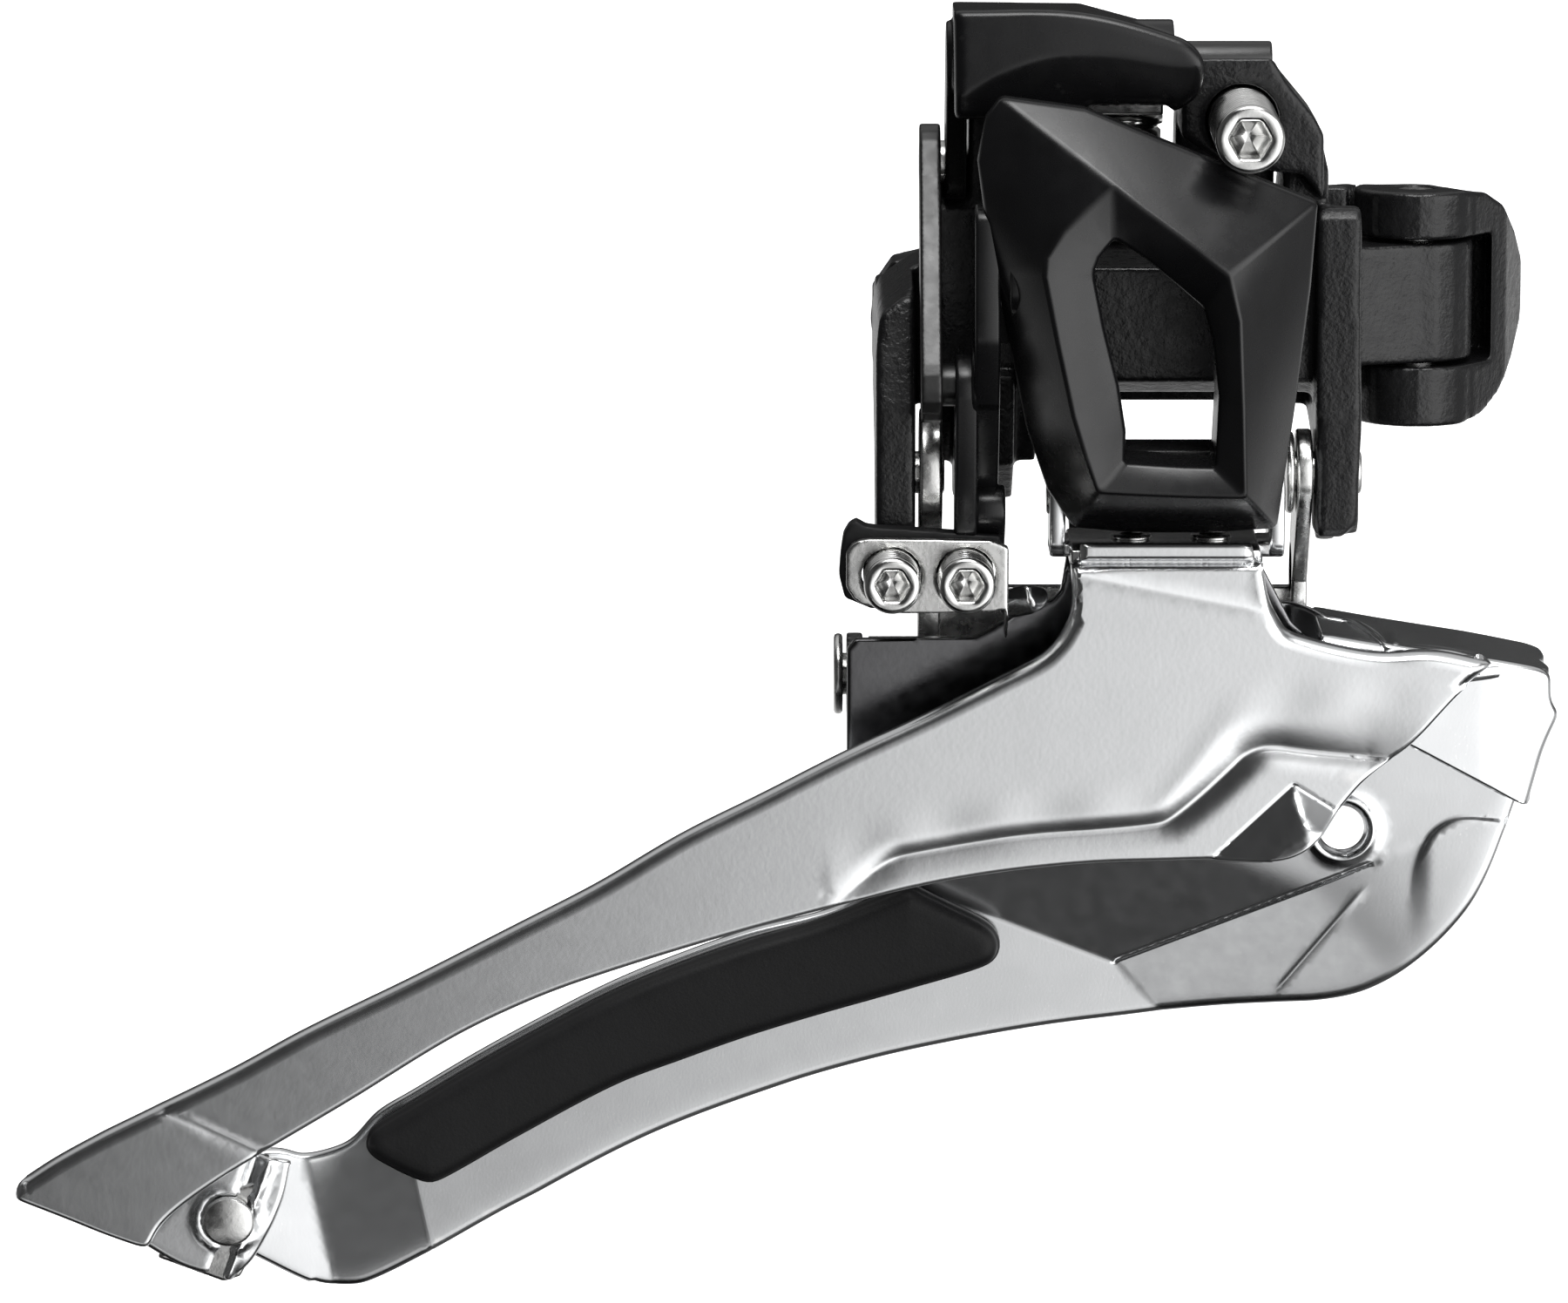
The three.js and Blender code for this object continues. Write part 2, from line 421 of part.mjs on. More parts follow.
// ---- outer cage plate: arm, front panel, folded floor and two ears ------------------------
const OUTER = [[-86.9, -59.9], [-86.6, -58.8], [-83.9, -57.1], [-80.7, -55.4], [-75.9, -53.0], [-70.8, -50.4], [-65.8, -47.6], [-58.0, -43.7], [-50.9, -40.0], [-45.2, -37.0], [-39.2, -33.4], [-33.5, -30.5], [-27.7, -27.5], [-22.0, -24.8], [-16.9, -22.2], [-13.9, -20.6], [-12.7, -19.3], [-12.0, -17.9], [-11.8, -16.7], [-12.0, -13.9], [1.4, -13.9], [1.9, -16.6], [3.1, -18.9], [6.1, -19.8], [9.6, -20.4], [13.3, -20.3], [17.8, -21.2], [15.4, -23.2], [11.9, -27.0], [8.8, -29.4], [5.6, -33.2], [4.1, -34.4], [2.5, -34.9], [-4.8, -35.2], [-10.5, -35.4], [-16.4, -36.0], [-21.7, -36.9], [-28.3, -38.5], [-36.6, -40.8], [-46.2, -43.9], [-50.9, -45.8], [-55.6, -48.2], [-62.7, -52.7], [-69.4, -56.8], [-72.5, -58.8], [-74.8, -60.5], [-76.2, -61.9], [-76.9, -63.4], [-77.5, -63.4], [-82.5, -61.5]];
{
  const mid = OUTER_Y + PLATE_T / 2;
  const relief = (x, z) => {
    // end of the tail turned towards the inner plate
    const d = -(x + 71.5) + (z + 55.4) * 0.4;
    let y = mid + 0.22 * Math.max(0, d);
    // lower strip at the front set back
    const step = table([[-60, -30.5], [-30, -30.5], [-14, -29.6], [-4, -29.4], [3, -24.5], [8, -23.6], [20, -23.2]], x);
    if (x > -26) y += 0.9 * smooth((step - 0.6 - z) / 2.4) * smooth((x + 26) / 8);
    return y;
  };
  const sheet = slab(relief, PLATE_T, -88, 19, 34, -64.5, -12.5, 17);
  const plate = sheet.intersect(prismY(OUTER, -60, -30));
  const floor = boxOf(-12.0, 1.4, OUTER_Y + 0.01, -36.0, -14.5, -13.35);
  const earShape = round([[P3[0], P3[1], 2.55], [P3[0] - 1.5, -13.2, 1.25], [P3[0] + 2.0, -13.2, 1.25]], 16);
  const earL = prismX(earShape, -13.3, -12.2);
  const earR = prismX(earShape, 2.1, 3.2);
  const tieL = boxOf(-13.3, -11.5, -42.0, -37.5, -14.45, -13.35);
  const tieR = boxOf(1.2, 3.2, -42.0, -37.5, -14.45, -13.35);
  let body = union(plate, floor, tieL, tieR, earL, earR);
  body = cut(body,
    cylX(P3[0], P3[1], PIN_R + FIT, -16, 6, 18),
    cylZ(-7.5, -40.4, 1.2, -18, -10, 16),
    cylZ(-1.9, -40.4, 1.2, -18, -10, 16));
  add('outer_cage_plate', body, satinChrome());
}

// ---- inner cage plate, swept round the front as the bridge of the cage --------------------
const INNER = [[-77.2, -65.8], [-74.5, -63.8], [-72.4, -60.9], [-69.8, -59.2], [-67.9, -59.2], [-66.8, -59.6], [-64.9, -59.2], [-63.2, -58.4], [-61.2, -56.2], [-58.5, -54.5], [-53.7, -51.6], [-48.8, -48.9], [-44.1, -46.5], [-39.3, -44.5], [-34.5, -42.8], [-28.2, -41.1], [-25.7, -39.5], [-23.2, -36.0], [-20.1, -32.5], [-17.0, -30.3], [-13.3, -27.7], [-9.6, -24.3], [-6.5, -19.9], [2.6, -18.9], [4.7, -19.0], [10.6, -20.1], [16.3, -21.0], [21.3, -21.9], [22.2, -22.4], [22.3, -24.4], [22.9, -25.2], [21.8, -27.5], [21.0, -30.0], [20.2, -32.7], [19.3, -35.1], [18.3, -37.6], [17.0, -40.2], [15.2, -42.5], [13.1, -44.5], [11.0, -46.0], [8.9, -47.0], [6.2, -47.6], [3.7, -47.8], [-0.8, -48.2], [-7.0, -49.0], [-13.2, -49.8], [-19.4, -50.9], [-25.7, -52.3], [-32.1, -54.2], [-41.7, -57.9], [-51.4, -63.1], [-57.1, -66.6], [-62.1, -69.5], [-64.0, -69.8], [-65.9, -69.5], [-69.9, -67.3], [-70.7, -66.8], [-71.4, -67.3]];
const innerStart = (z) => table([[-50, -9], [-45.5, -7], [-42, 1], [-38, 9], [-34, 9.5], [-28, 8.5], [-19, 7.0]], z);
const innerWidth = (z) => table([[-50, 16], [-42, 13], [-34, 9], [-19, 9]], z);
// the front of the plate stands out 3.4 mm; above a slanting crease it leans
// right out to the outer plate, as the front wall of the bridge
const crease = (x, z) => z + 28 + 0.56 * (x - 12.3);
const innerStand = (x, z) => 3.4 + 6.5 * smooth((crease(x, z) + 3) / 10);
const innerY = (x, z) => INNER_Y + PLATE_T / 2 - innerStand(x, z) * smooth((x - innerStart(z)) / innerWidth(z));
{
  const sheet = slab(innerY, PLATE_T, -78.5, 25, 38, -71, -17.5, 19);
  let plate = sheet.intersect(prismY(INNER, -60, -20));
  // roof of the bridge, from the plate across to the top edge of the outer plate
  const roof = prismY([[5.75, -19.25], [10.6, -20.1], [16.3, -21.0], [22.2, -22.1], [22.2, -23.2], [16.1, -22.1], [10.4, -21.2], [5.75, -20.35]], -46, -33)
    .intersect(prismZ([[5.75, -45.65], [16.6, -45.65], [18.6, -45.0], [21.6, -44.2], [22.2, -43.4], [22.2, -34.4], [21.2, -33.5], [5.75, -33.5]], -30, -10));
  // ear folded back for the front end of the inner pivot
  plate = union(plate, roof, prismX(round([[P4[0], P4[1], 2.9], [-33.9, -23.6, 1.0], [-33.9, -28.4, 1.0]], 16), 6.15, 7.3));
  plate = cut(plate, cylX(P4[0], P4[1], PIN_R + FIT, 4, 12, 18));
  plate = cut(plate,
    cylY(7.7, -34.7, 1.6, -60, -20, 16),
    cylY(-71.4, -61.9, 1.15, -60, -20, 16));
  add('inner_cage_plate', plate, satinChrome());
}

// ---- skid pad clipped to the inner plate --------------------------------------------------
{
  const PAD = [[-61.7, -57.4], [-61.0, -56.8], [-58.4, -55.2], [-53.6, -52.3], [-48.8, -49.6], [-44.0, -47.1], [-39.2, -45.1], [-34.4, -43.4], [-29.5, -41.9], [-25.7, -40.4], [-23.0, -39.2], [-21.5, -40.0], [-20.1, -40.7], [-17.4, -42.1], [-16.7, -43.0], [-16.7, -44.1], [-17.4, -44.9], [-22.8, -46.6], [-29.7, -48.6], [-34.5, -50.1], [-39.2, -51.8], [-44.1, -53.7], [-51.3, -57.6], [-56.5, -60.6], [-57.6, -60.9], [-61.3, -59.1], [-61.9, -58.4]];
  add('chain_skid_pad', prismY(PAD, INNER_Y - 0.2 - PAD_T, INNER_Y - 0.2), resin());
}

// ---- link bracket: web behind the outer plate, top flange and two ears at P4 ---------------
{
  const web = prismY([[-27.5, -32.0], [-27.5, -21.6], [-26.9, -20.9], [-18.6, -20.8], [-17.4, -20.2], [-15.8, -19.2], [-13.0, -18.1], [-12.4, -17.4], [-12.0, -14.85], [1.4, -14.85], [3.9, -19.6], [5.0, -20.6], [5.0, -28.0], [-8, -30.5], [-19, -34.5], [-25.5, -34.5]], -38.6, -37.4);
  const flange = boxOf(-11.6, 1.2, -45.2, -37.4, -15.95, -14.85);
  const ear = round([[P4[0], P4[1], 3.0], [-37.2, -24.0, 1.2], [-37.2, -29.5, 1.2]], 16);
  const earL = prismX(ear, -27.5, -26.3);
  let body = union(web, flange, earL);
  body = cut(body,
    cylX(P4[0], P4[1], PIN_R + FIT, -30, 12, 18),
    cylZ(-7.5, -40.4, 1.2, -18, -10, 16),
    cylZ(-1.9, -40.4, 1.2, -18, -10, 16));
  add('link_bracket', body, satinChrome());
}
for (const [name, x] of [['bracket_rivet_rear', -7.5], ['bracket_rivet_front', -1.9]]) {
  add(name, union(cylZ(x, -40.4, 1.0, -16.9, -13.0, 16), cylZ(x, -40.4, 1.5, -16.9, -16.2, 16)), steel());
}
// pivot pins of the cage
add('cage_pin_outer', cylX(P3[0], P3[1], PIN_R, -13.5, 3.3, 18), steel());
add('cage_pin_inner', union(cylX(P4[0], P4[1], PIN_R, -28.2, 7.6, 18), cylX(P4[0], P4[1], 2.9, -28.4, -27.75, 18)), steel());

// ---- limit screws, the plate that carries them and its resin locking insert ------------------
{
  const plate = prismY([[-27.6, -15.3], [-27.6, -13.9], [-27.2, -13.3], [-26.7, -13.0], [-25.9, -12.9], [-17.5, -13.0], [-16.2, -13.5], [-13.8, -14.0], [-13.8, -17.2], [-14.6, -17.6], [-17.6, -18.1], [-23.7, -18.2], [-25.1, -17.9], [-26.6, -17.5], [-27.1, -17.1], [-27.6, -16.3]], -43.6, -42.5);
  const tab = prismX([[-43.6, -17.2], [-42.5, -17.2], [-38.9, -18.6], [-38.9, -20.6], [-40.0, -20.6], [-43.6, -18.4]], -16.4, -14.2);
  add('limit_screw_plate', cut(union(plate, tab),
    cylY(LOW_X, LIMIT_Z, SCREW_R + 0.15, -50, -39, 18),
    cylY(HIGH_X, LIMIT_Z, SCREW_R + 0.15, -50, -39, 18)), steel());
  const insert = prismY([[-28.1, -15.7], [-28.0, -14.2], [-27.8, -12.8], [-27.4, -12.1], [-26.9, -11.8], [-26.2, -12.2], [-25.6, -12.3], [-22.3, -12.5], [-16.8, -12.9], [-16.8, -17.9], [-25.8, -18.1], [-27.7, -17.3]], -42.2, -40.3);
  add('limit_screw_insert', cut(insert,
    cylY(LOW_X, LIMIT_Z, SCREW_R + 0.15, -50, -39, 18),
    cylY(HIGH_X, LIMIT_Z, SCREW_R + 0.15, -50, -39, 18)), resin());
  add('low_limit_screw', socketScrew(LOW_X, LIMIT_Z, SCREW_R, SCREW_Y0, SCREW_Y1, 2, 2.2), boltSteel());
  add('high_limit_screw', socketScrew(HIGH_X, LIMIT_Z, SCREW_R, SCREW_Y0, SCREW_Y1, 2, 2.2), boltSteel());
}
// cable adjusting bolt in the ear boss
add('cable_adjusting_bolt', socketScrew(ADJ_X, ADJ_Z, 2.4, -50.0, -28.8, 2.5, 2.6), boltSteel());

// ---- tail of the cage: spacer and rivet between the plates ------------------------------------
{
  const spacer = prismY([[-76.6, -64.6], [-74.2, -62.6], [-72.1, -59.9], [-69.0, -59.0], [-68.2, -61.4], [-70.6, -66.0], [-71.8, -66.4]], -43.6, INNER_Y - 0.3);
  add('cage_tail_spacer', cut(spacer, cylY(-71.4, -61.9, 1.15, -50, -30, 16)), steel());
  add('cage_tail_rivet', union(cylY(-71.4, -61.9, 1.0, -44.2, -33.0, 16), cylY(-71.4, -61.9, 1.9, -44.4, -43.8, 16)), steel());
}

export default parts;
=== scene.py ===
# Looks of the front derailleur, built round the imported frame. Shapes are given
# in millimetres in the frame's axes and written to Blender in metres.
import json
import math

import bmesh
import bpy
import numpy as np
from mathutils import Matrix, Vector
from mathutils import geometry as mgeo


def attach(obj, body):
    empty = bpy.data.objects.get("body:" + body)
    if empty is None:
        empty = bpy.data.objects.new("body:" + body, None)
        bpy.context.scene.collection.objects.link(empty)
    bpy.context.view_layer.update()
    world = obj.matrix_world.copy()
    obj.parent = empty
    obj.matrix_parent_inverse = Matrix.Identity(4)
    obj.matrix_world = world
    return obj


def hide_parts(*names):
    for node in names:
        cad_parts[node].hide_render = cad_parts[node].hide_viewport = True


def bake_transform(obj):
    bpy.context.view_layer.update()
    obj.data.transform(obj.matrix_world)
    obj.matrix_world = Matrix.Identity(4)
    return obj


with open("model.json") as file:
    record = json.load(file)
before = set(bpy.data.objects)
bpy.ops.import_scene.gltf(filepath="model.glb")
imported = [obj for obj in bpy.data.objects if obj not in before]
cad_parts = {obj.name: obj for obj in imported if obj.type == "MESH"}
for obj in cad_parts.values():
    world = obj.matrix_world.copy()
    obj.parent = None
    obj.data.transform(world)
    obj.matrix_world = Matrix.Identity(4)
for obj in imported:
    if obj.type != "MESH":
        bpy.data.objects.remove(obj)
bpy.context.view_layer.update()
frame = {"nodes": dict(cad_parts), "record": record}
NODES = frame["nodes"]
MM = 0.001


# ---------------------------------------------------------------- camera
# the frame is 1800 x 1496, so a focal length of 10400 pixels is 208 mm on a 36 mm sensor
def make_camera():
    cam = bpy.data.cameras.new("camera")
    cam.lens = 208.0
    cam.sensor_width = 36.0
    cam.clip_start, cam.clip_end = 0.01, 200.0
    o = bpy.data.objects.new("camera", cam)
    o.location = (-0.03196, -0.67013, 0.08960)
    o.rotation_euler = (math.radians(80), 0, 0)
    bpy.context.scene.collection.objects.link(o)
    bpy.context.scene.camera = o


make_camera()


# ---------------------------------------------------------------- studio
def make_world():
    w = bpy.data.worlds.new("studio")
    bpy.context.scene.world = w
    w.use_nodes = True
    nt = w.node_tree
    nt.nodes.clear()
    out = nt.nodes.new("ShaderNodeOutputWorld")
    co = nt.nodes.new("ShaderNodeTexCoord")
    sep = nt.nodes.new("ShaderNodeSeparateXYZ")
    nt.links.new(co.outputs["Generated"], sep.inputs[0])
    neg = nt.nodes.new("ShaderNodeMath")
    neg.operation = "MULTIPLY"
    neg.inputs[1].default_value = -1.0
    nt.links.new(sep.outputs["Y"], neg.inputs[0])
    az = nt.nodes.new("ShaderNodeMath")
    az.operation = "ARCTAN2"
    nt.links.new(sep.outputs["X"], az.inputs[0])
    nt.links.new(neg.outputs[0], az.inputs[1])
    m = nt.nodes.new("ShaderNodeMapRange")
    m.inputs["From Min"].default_value = -math.pi
    m.inputs["From Max"].default_value = math.pi
    nt.links.new(az.outputs[0], m.inputs["Value"])
    el = nt.nodes.new("ShaderNodeMapRange")
    el.inputs["From Min"].default_value = -1.0
    el.inputs["From Max"].default_value = 1.0
    nt.links.new(sep.outputs["Z"], el.inputs["Value"])

    def product(az_stops, el_stops, strength):
        ra = nt.nodes.new("ShaderNodeValToRGB")
        stops(ra, az_stops, lambda v: (v + 180) / 360)
        nt.links.new(m.outputs["Result"], ra.inputs[0])
        re = nt.nodes.new("ShaderNodeValToRGB")
        stops(re, el_stops, lambda v: (math.sin(math.radians(v)) + 1) / 2)
        nt.links.new(el.outputs["Result"], re.inputs[0])
        mul = nt.nodes.new("ShaderNodeMix")
        mul.data_type = "RGBA"
        mul.blend_type = "MULTIPLY"
        mul.inputs["Factor"].default_value = 1.0
        nt.links.new(ra.outputs[0], mul.inputs["A"])
        nt.links.new(re.outputs[0], mul.inputs["B"])
        bg = nt.nodes.new("ShaderNodeBackground")
        bg.inputs["Strength"].default_value = strength
        nt.links.new(mul.outputs["Result"], bg.inputs["Color"])
        return bg.outputs[0]

    front = product([(-180, .01), (-70, .02), (-38, .012), (-26, .008), (-17, .010), (-11, .016), (-8, .03), (-4, .078), (-1, .14), (2, .22), (5, .31), (10, .38), (16, .5), (28, .85), (44, .85), (60, .3), (78, .06), (112, .05), (150, .02), (180, .01)],
                    [(-90, .03), (-50, .025), (-38, .05), (-28, .5), (-20, .95), (-10, 1.0), (24, 1.0), (36, .5), (48, .12), (70, .1), (90, .12)], 3.4)
    low = product([(-180, .0), (-26, .0), (-21, .6), (-17, 1.0), (-12, 1.0), (-8, .35), (40, .4), (60, .1), (90, 0), (180, .0)],
                  [(-90, .0), (-34, .0), (-30, .8), (-25, 1.0), (-21, .3), (-18, 0), (90, 0)], 1.0)
    high = product([(-180, .0), (-95, .05), (-60, .5), (-20, 1.0), (60, 1.0), (95, .4), (130, .05), (180, .0)],
                   [(-90, .0), (48, .0), (58, .08), (66, .6), (74, 1.0), (90, 1.0)], 5.0)
    side = product([(-180, .0), (48, .0), (62, .5), (80, 1.0), (98, .6), (115, .0), (180, .0)],
                   [(-90, .0), (-42, .0), (-26, 1.0), (30, 1.0), (60, .2), (90, .0)], 0.35)
    rear = product([(-180, 1.0), (-122, .8), (-92, .0), (102, .0), (126, .8), (180, 1.0)],
                   [(-90, .1), (-50, .4), (-30, 1.0), (-7, 1.0), (0, .0), (22, .0), (36, .7), (80, .8), (90, .4)], 0.8)
    for lobe in (high, side, rear):
        both = nt.nodes.new("ShaderNodeAddShader")
        nt.links.new(lobe, both.inputs[0])
        nt.links.new(low, both.inputs[1])
        low = both.outputs[0]
    add = nt.nodes.new("ShaderNodeAddShader")
    nt.links.new(front, add.inputs[0])
    nt.links.new(low, add.inputs[1])
    white = nt.nodes.new("ShaderNodeBackground")
    white.inputs["Color"].default_value = (1, 1, 1, 1)
    white.inputs["Strength"].default_value = 1.0
    lp = nt.nodes.new("ShaderNodeLightPath")
    mix = nt.nodes.new("ShaderNodeMixShader")
    nt.links.new(lp.outputs["Is Camera Ray"], mix.inputs[0])
    nt.links.new(add.outputs[0], mix.inputs[1])
    nt.links.new(white.outputs[0], mix.inputs[2])
    nt.links.new(mix.outputs[0], out.inputs["Surface"])


def stops(ramp, pairs, place):
    e = ramp.color_ramp.elements
    while len(e) > 1:
        e.remove(e[-1])
    e[0].position = place(pairs[0][0])
    e[0].color = (pairs[0][1],) * 3 + (1,)
    for a, v in pairs[1:]:
        s = e.new(place(a))
        s.color = (v, v, v, 1)


def area(name, loc, look, size, power, glossy=True):
    l = bpy.data.lights.new(name, "AREA")
    l.shape = "RECTANGLE"
    l.size, l.size_y = size
    l.energy = power
    o = bpy.data.objects.new(name, l)
    o.location = loc
    o.rotation_euler = (Vector(look) - Vector(loc)).to_track_quat("-Z", "Y").to_euler()
    o.visible_camera = False
    o.visible_glossy = glossy
    bpy.context.scene.collection.objects.link(o)
    return o


make_world()
area("key_top", (0.06, -0.52, 0.90), (-0.02, -0.03, 0), (0.5, 0.3), 4.2)
area("fill_right", (0.9, -0.5, 0.25), (0, -0.03, 0), (0.4, 0.6), 1.5)


def make_floor():
    m = bpy.data.meshes.new("floor")
    s, z = 60.0, -1.25
    m.from_pydata([(-s, -s, z), (s, -s, z), (s, s, z), (-s, s, z)], [], [(0, 1, 2, 3)])
    o = bpy.data.objects.new("floor", m)
    bpy.context.scene.collection.objects.link(o)
    mat = bpy.data.materials.new("pale_floor")
    mat.use_nodes = True
    b = mat.node_tree.nodes["Principled BSDF"]
    b.inputs["Base Color"].default_value = (0.9, 0.9, 0.9, 1)
    b.inputs["Roughness"].default_value = 0.9
    b.inputs["Emission Color"].default_value = (1, 1, 1, 1)
    b.inputs["Emission Strength"].default_value = 1.0
    m.materials.append(mat)
    o.visible_diffuse = o.visible_glossy = o.visible_shadow = False


make_floor()
bpy.context.scene.view_settings.view_transform = "Standard"


# ---------------------------------------------------------------- materials
def material(name, color, metallic, rough, rough_var=0.05, rough_scale=700, tint=0.06, tint_scale=260,
             bumps=(), spec=0.5, coat=0.0, coat_rough=0.2, wear=None, specks=None, dust=None):
    """bumps: (scale, height in mm, detail, kind). Scales are per metre, so 1000 gives features of about 1 mm."""
    mat = bpy.data.materials.new(name)
    mat.use_nodes = True
    nt = mat.node_tree
    b = nt.nodes["Principled BSDF"]
    b.inputs["Metallic"].default_value = metallic
    b.inputs["Specular IOR Level"].default_value = spec
    if coat:
        b.inputs["Coat Weight"].default_value = coat
        b.inputs["Coat Roughness"].default_value = coat_rough
    co = nt.nodes.new("ShaderNodeTexCoord")
    obj = co.outputs["Object"]

    def noise(scale, detail=3.0, distortion=0.0, rough_=0.5):
        n = nt.nodes.new("ShaderNodeTexNoise")
        n.inputs["Scale"].default_value = scale
        n.inputs["Detail"].default_value = detail
        n.inputs["Roughness"].default_value = rough_
        n.inputs["Distortion"].default_value = distortion
        nt.links.new(obj, n.inputs["Vector"])
        return n.outputs["Fac"]

    def mapped(v, a, b_, lo, hi):
        m = nt.nodes.new("ShaderNodeMapRange")
        m.inputs["From Min"].default_value = a
        m.inputs["From Max"].default_value = b_
        m.inputs["To Min"].default_value = lo
        m.inputs["To Max"].default_value = hi
        nt.links.new(v, m.inputs["Value"])
        return m.outputs["Result"]

    def mix(fac, a, b_):
        m = nt.nodes.new("ShaderNodeMix")
        m.data_type = "RGBA"
        nt.links.new(fac, m.inputs["Factor"])
        for sock, v in (("A", a), ("B", b_)):
            if isinstance(v, tuple):
                m.inputs[sock].default_value = v + (1,)
            else:
                nt.links.new(v, m.inputs[sock])
        return m.outputs["Result"]

    lo = tuple(c * (1 - tint) for c in color)
    hi = tuple(min(1.0, c * (1 + tint)) for c in color)
    col = mix(mapped(noise(tint_scale, 4), 0.3, 0.7, 0, 1), lo, hi)
    ro = mapped(noise(rough_scale, 4), 0.3, 0.7, max(0.02, rough - rough_var), rough + rough_var)
    if specks:
        sc, amount, scol = specks
        v = nt.nodes.new("ShaderNodeTexVoronoi")
        v.inputs["Scale"].default_value = sc
        nt.links.new(obj, v.inputs["Vector"])
        col = mix(mapped(v.outputs["Distance"], amount, amount * 0.6, 0, 1), col, scol)
    if wear:
        wcol, a, b_ = wear
        g = nt.nodes.new("ShaderNodeNewGeometry")
        e = mapped(g.outputs["Pointiness"], a, b_, 0, 1)
        mm = nt.nodes.new("ShaderNodeMath")
        mm.operation = "MULTIPLY"
        nt.links.new(e, mm.inputs[0])
        nt.links.new(mapped(noise(900, 3), 0.35, 0.65, 0.3, 1), mm.inputs[1])
        col = mix(mm.outputs[0], col, wcol)
    nt.links.new(col, b.inputs["Base Color"])
    nt.links.new(ro, b.inputs["Roughness"])
    last = None
    for scale, height, detail, kind in bumps:
        if kind == "noise":
            h = noise(scale, detail)
        elif kind == "peel":
            v = nt.nodes.new("ShaderNodeTexVoronoi")
            v.feature = "SMOOTH_F1"
            v.inputs["Scale"].default_value = scale
            v.inputs["Smoothness"].default_value = 1.0
            nt.links.new(obj, v.inputs["Vector"])
            h = v.outputs["Distance"]
        elif kind == "brush":
            mp = nt.nodes.new("ShaderNodeMapping")
            mp.inputs["Scale"].default_value = (0.04, 1.0, 1.0)
            nt.links.new(obj, mp.inputs["Vector"])
            n = nt.nodes.new("ShaderNodeTexNoise")
            n.inputs["Scale"].default_value = scale
            n.inputs["Detail"].default_value = detail
            nt.links.new(mp.outputs[0], n.inputs["Vector"])
            h = n.outputs["Fac"]
        bp = nt.nodes.new("ShaderNodeBump")
        bp.inputs["Strength"].default_value = 1.0
        bp.inputs["Distance"].default_value = height * MM
        nt.links.new(h, bp.inputs["Height"])
        if last is not None:
            nt.links.new(last, bp.inputs["Normal"])
        last = bp.outputs["Normal"]
    if last is not None:
        nt.links.new(last, b.inputs["Normal"])
    return mat


M_CHROME = material("satin_chrome", (0.80, 0.81, 0.82), 1.0, 0.215, 0.012, 900, 0.02, 300,
                    bumps=[(2600, 0.0030, 2, "noise")], wear=((0.93, 0.93, 0.93), 0.53, 0.6))
M_CHROME_IN = material("satin_chrome_inner", (0.78, 0.79, 0.80), 1.0, 0.215, 0.012, 900, 0.03, 300,
                       bumps=[(5200, 0.0016, 2, "noise")], specks=(2600, 0.10, (0.95, 0.95, 0.95)), wear=((0.93, 0.93, 0.93), 0.53, 0.6))
M_STEEL = material("plated_steel", (0.66, 0.66, 0.65), 1.0, 0.26, 0.08, 1200, 0.08, 500,
                   bumps=[(3000, 0.010, 3, "noise"), (900, 0.010, 2, "noise")])
M_BOLT = material("screw_steel", (0.74, 0.74, 0.73), 1.0, 0.20, 0.06, 1500, 0.06, 700,
                  bumps=[(3500, 0.004, 2, "noise")])
M_CAST = material("cast_black", (0.0065, 0.0065, 0.007), 0.0, 0.30, 0.06, 900, 0.25, 500,
                  bumps=[(1700, 0.06, 3, "noise"), (4200, 0.03, 2, "noise")], spec=0.36, wear=((0.02, 0.02, 0.02), 0.53, 0.62))
M_SATIN = material("satin_black", (0.005, 0.005, 0.0055), 0.0, 0.27, 0.03, 700, 0.2, 300,
                   bumps=[(3800, 0.0025, 3, "noise")], spec=0.42, wear=((0.014, 0.014, 0.014), 0.53, 0.62))
M_BLACKSTEEL = material("black_steel", (0.006, 0.006, 0.006), 0.0, 0.33, 0.06, 900, 0.2, 500,
                        bumps=[(3200, 0.006, 3, "noise")], spec=0.6)
# Chrome of the link bracket with painted shade: its base colour is darkened to stand for the shade and dark
# reflections it gets from the black parts round it. The paler edge wear is real wear.
M_SHADED_CHROME = material("chrome_with_painted_shade", (0.16, 0.16, 0.165), 1.0, 0.16, 0.05, 900, 0.10, 400,
                        bumps=[(2600, 0.004, 3, "noise")], wear=((0.5, 0.5, 0.5), 0.53, 0.6))
M_RESIN = material("matt_resin", (0.007, 0.007, 0.0075), 0.0, 0.50, 0.05, 700, 0.12, 320,
                   bumps=[(5200, 0.012, 3, "noise"), (1400, 0.008, 2, "noise")], spec=0.24)

LOOK = {
    "cast_black": M_CAST, "satin_black": M_SATIN, "black_steel": M_BLACKSTEEL,
    "satin_chrome": M_CHROME, "steel": M_STEEL, "bolt_steel": M_BOLT, "resin": M_RESIN,
}
SLOT = {s["node"]: s["material_slot"] for s in frame["record"]["subparts"]}
for name, o in NODES.items():
    o.data.materials.clear()
    o.data.materials.append(LOOK[SLOT[name]])


# ---------------------------------------------------------------- mesh helpers
def fit(v):
    """Eases the outermost points just inside the CAD's box."""
    x, y, z = (float(c) for c in v)
    x = -80 + (x + 80) * 0.94 if x < -80 else 18 + (x - 18) * 0.92 if x > 18 else x
    z = -62 + (z + 62) * 0.93 if z < -62 else 20 + (z - 20) * 0.96 if z > 20 else z
    return x, y, z


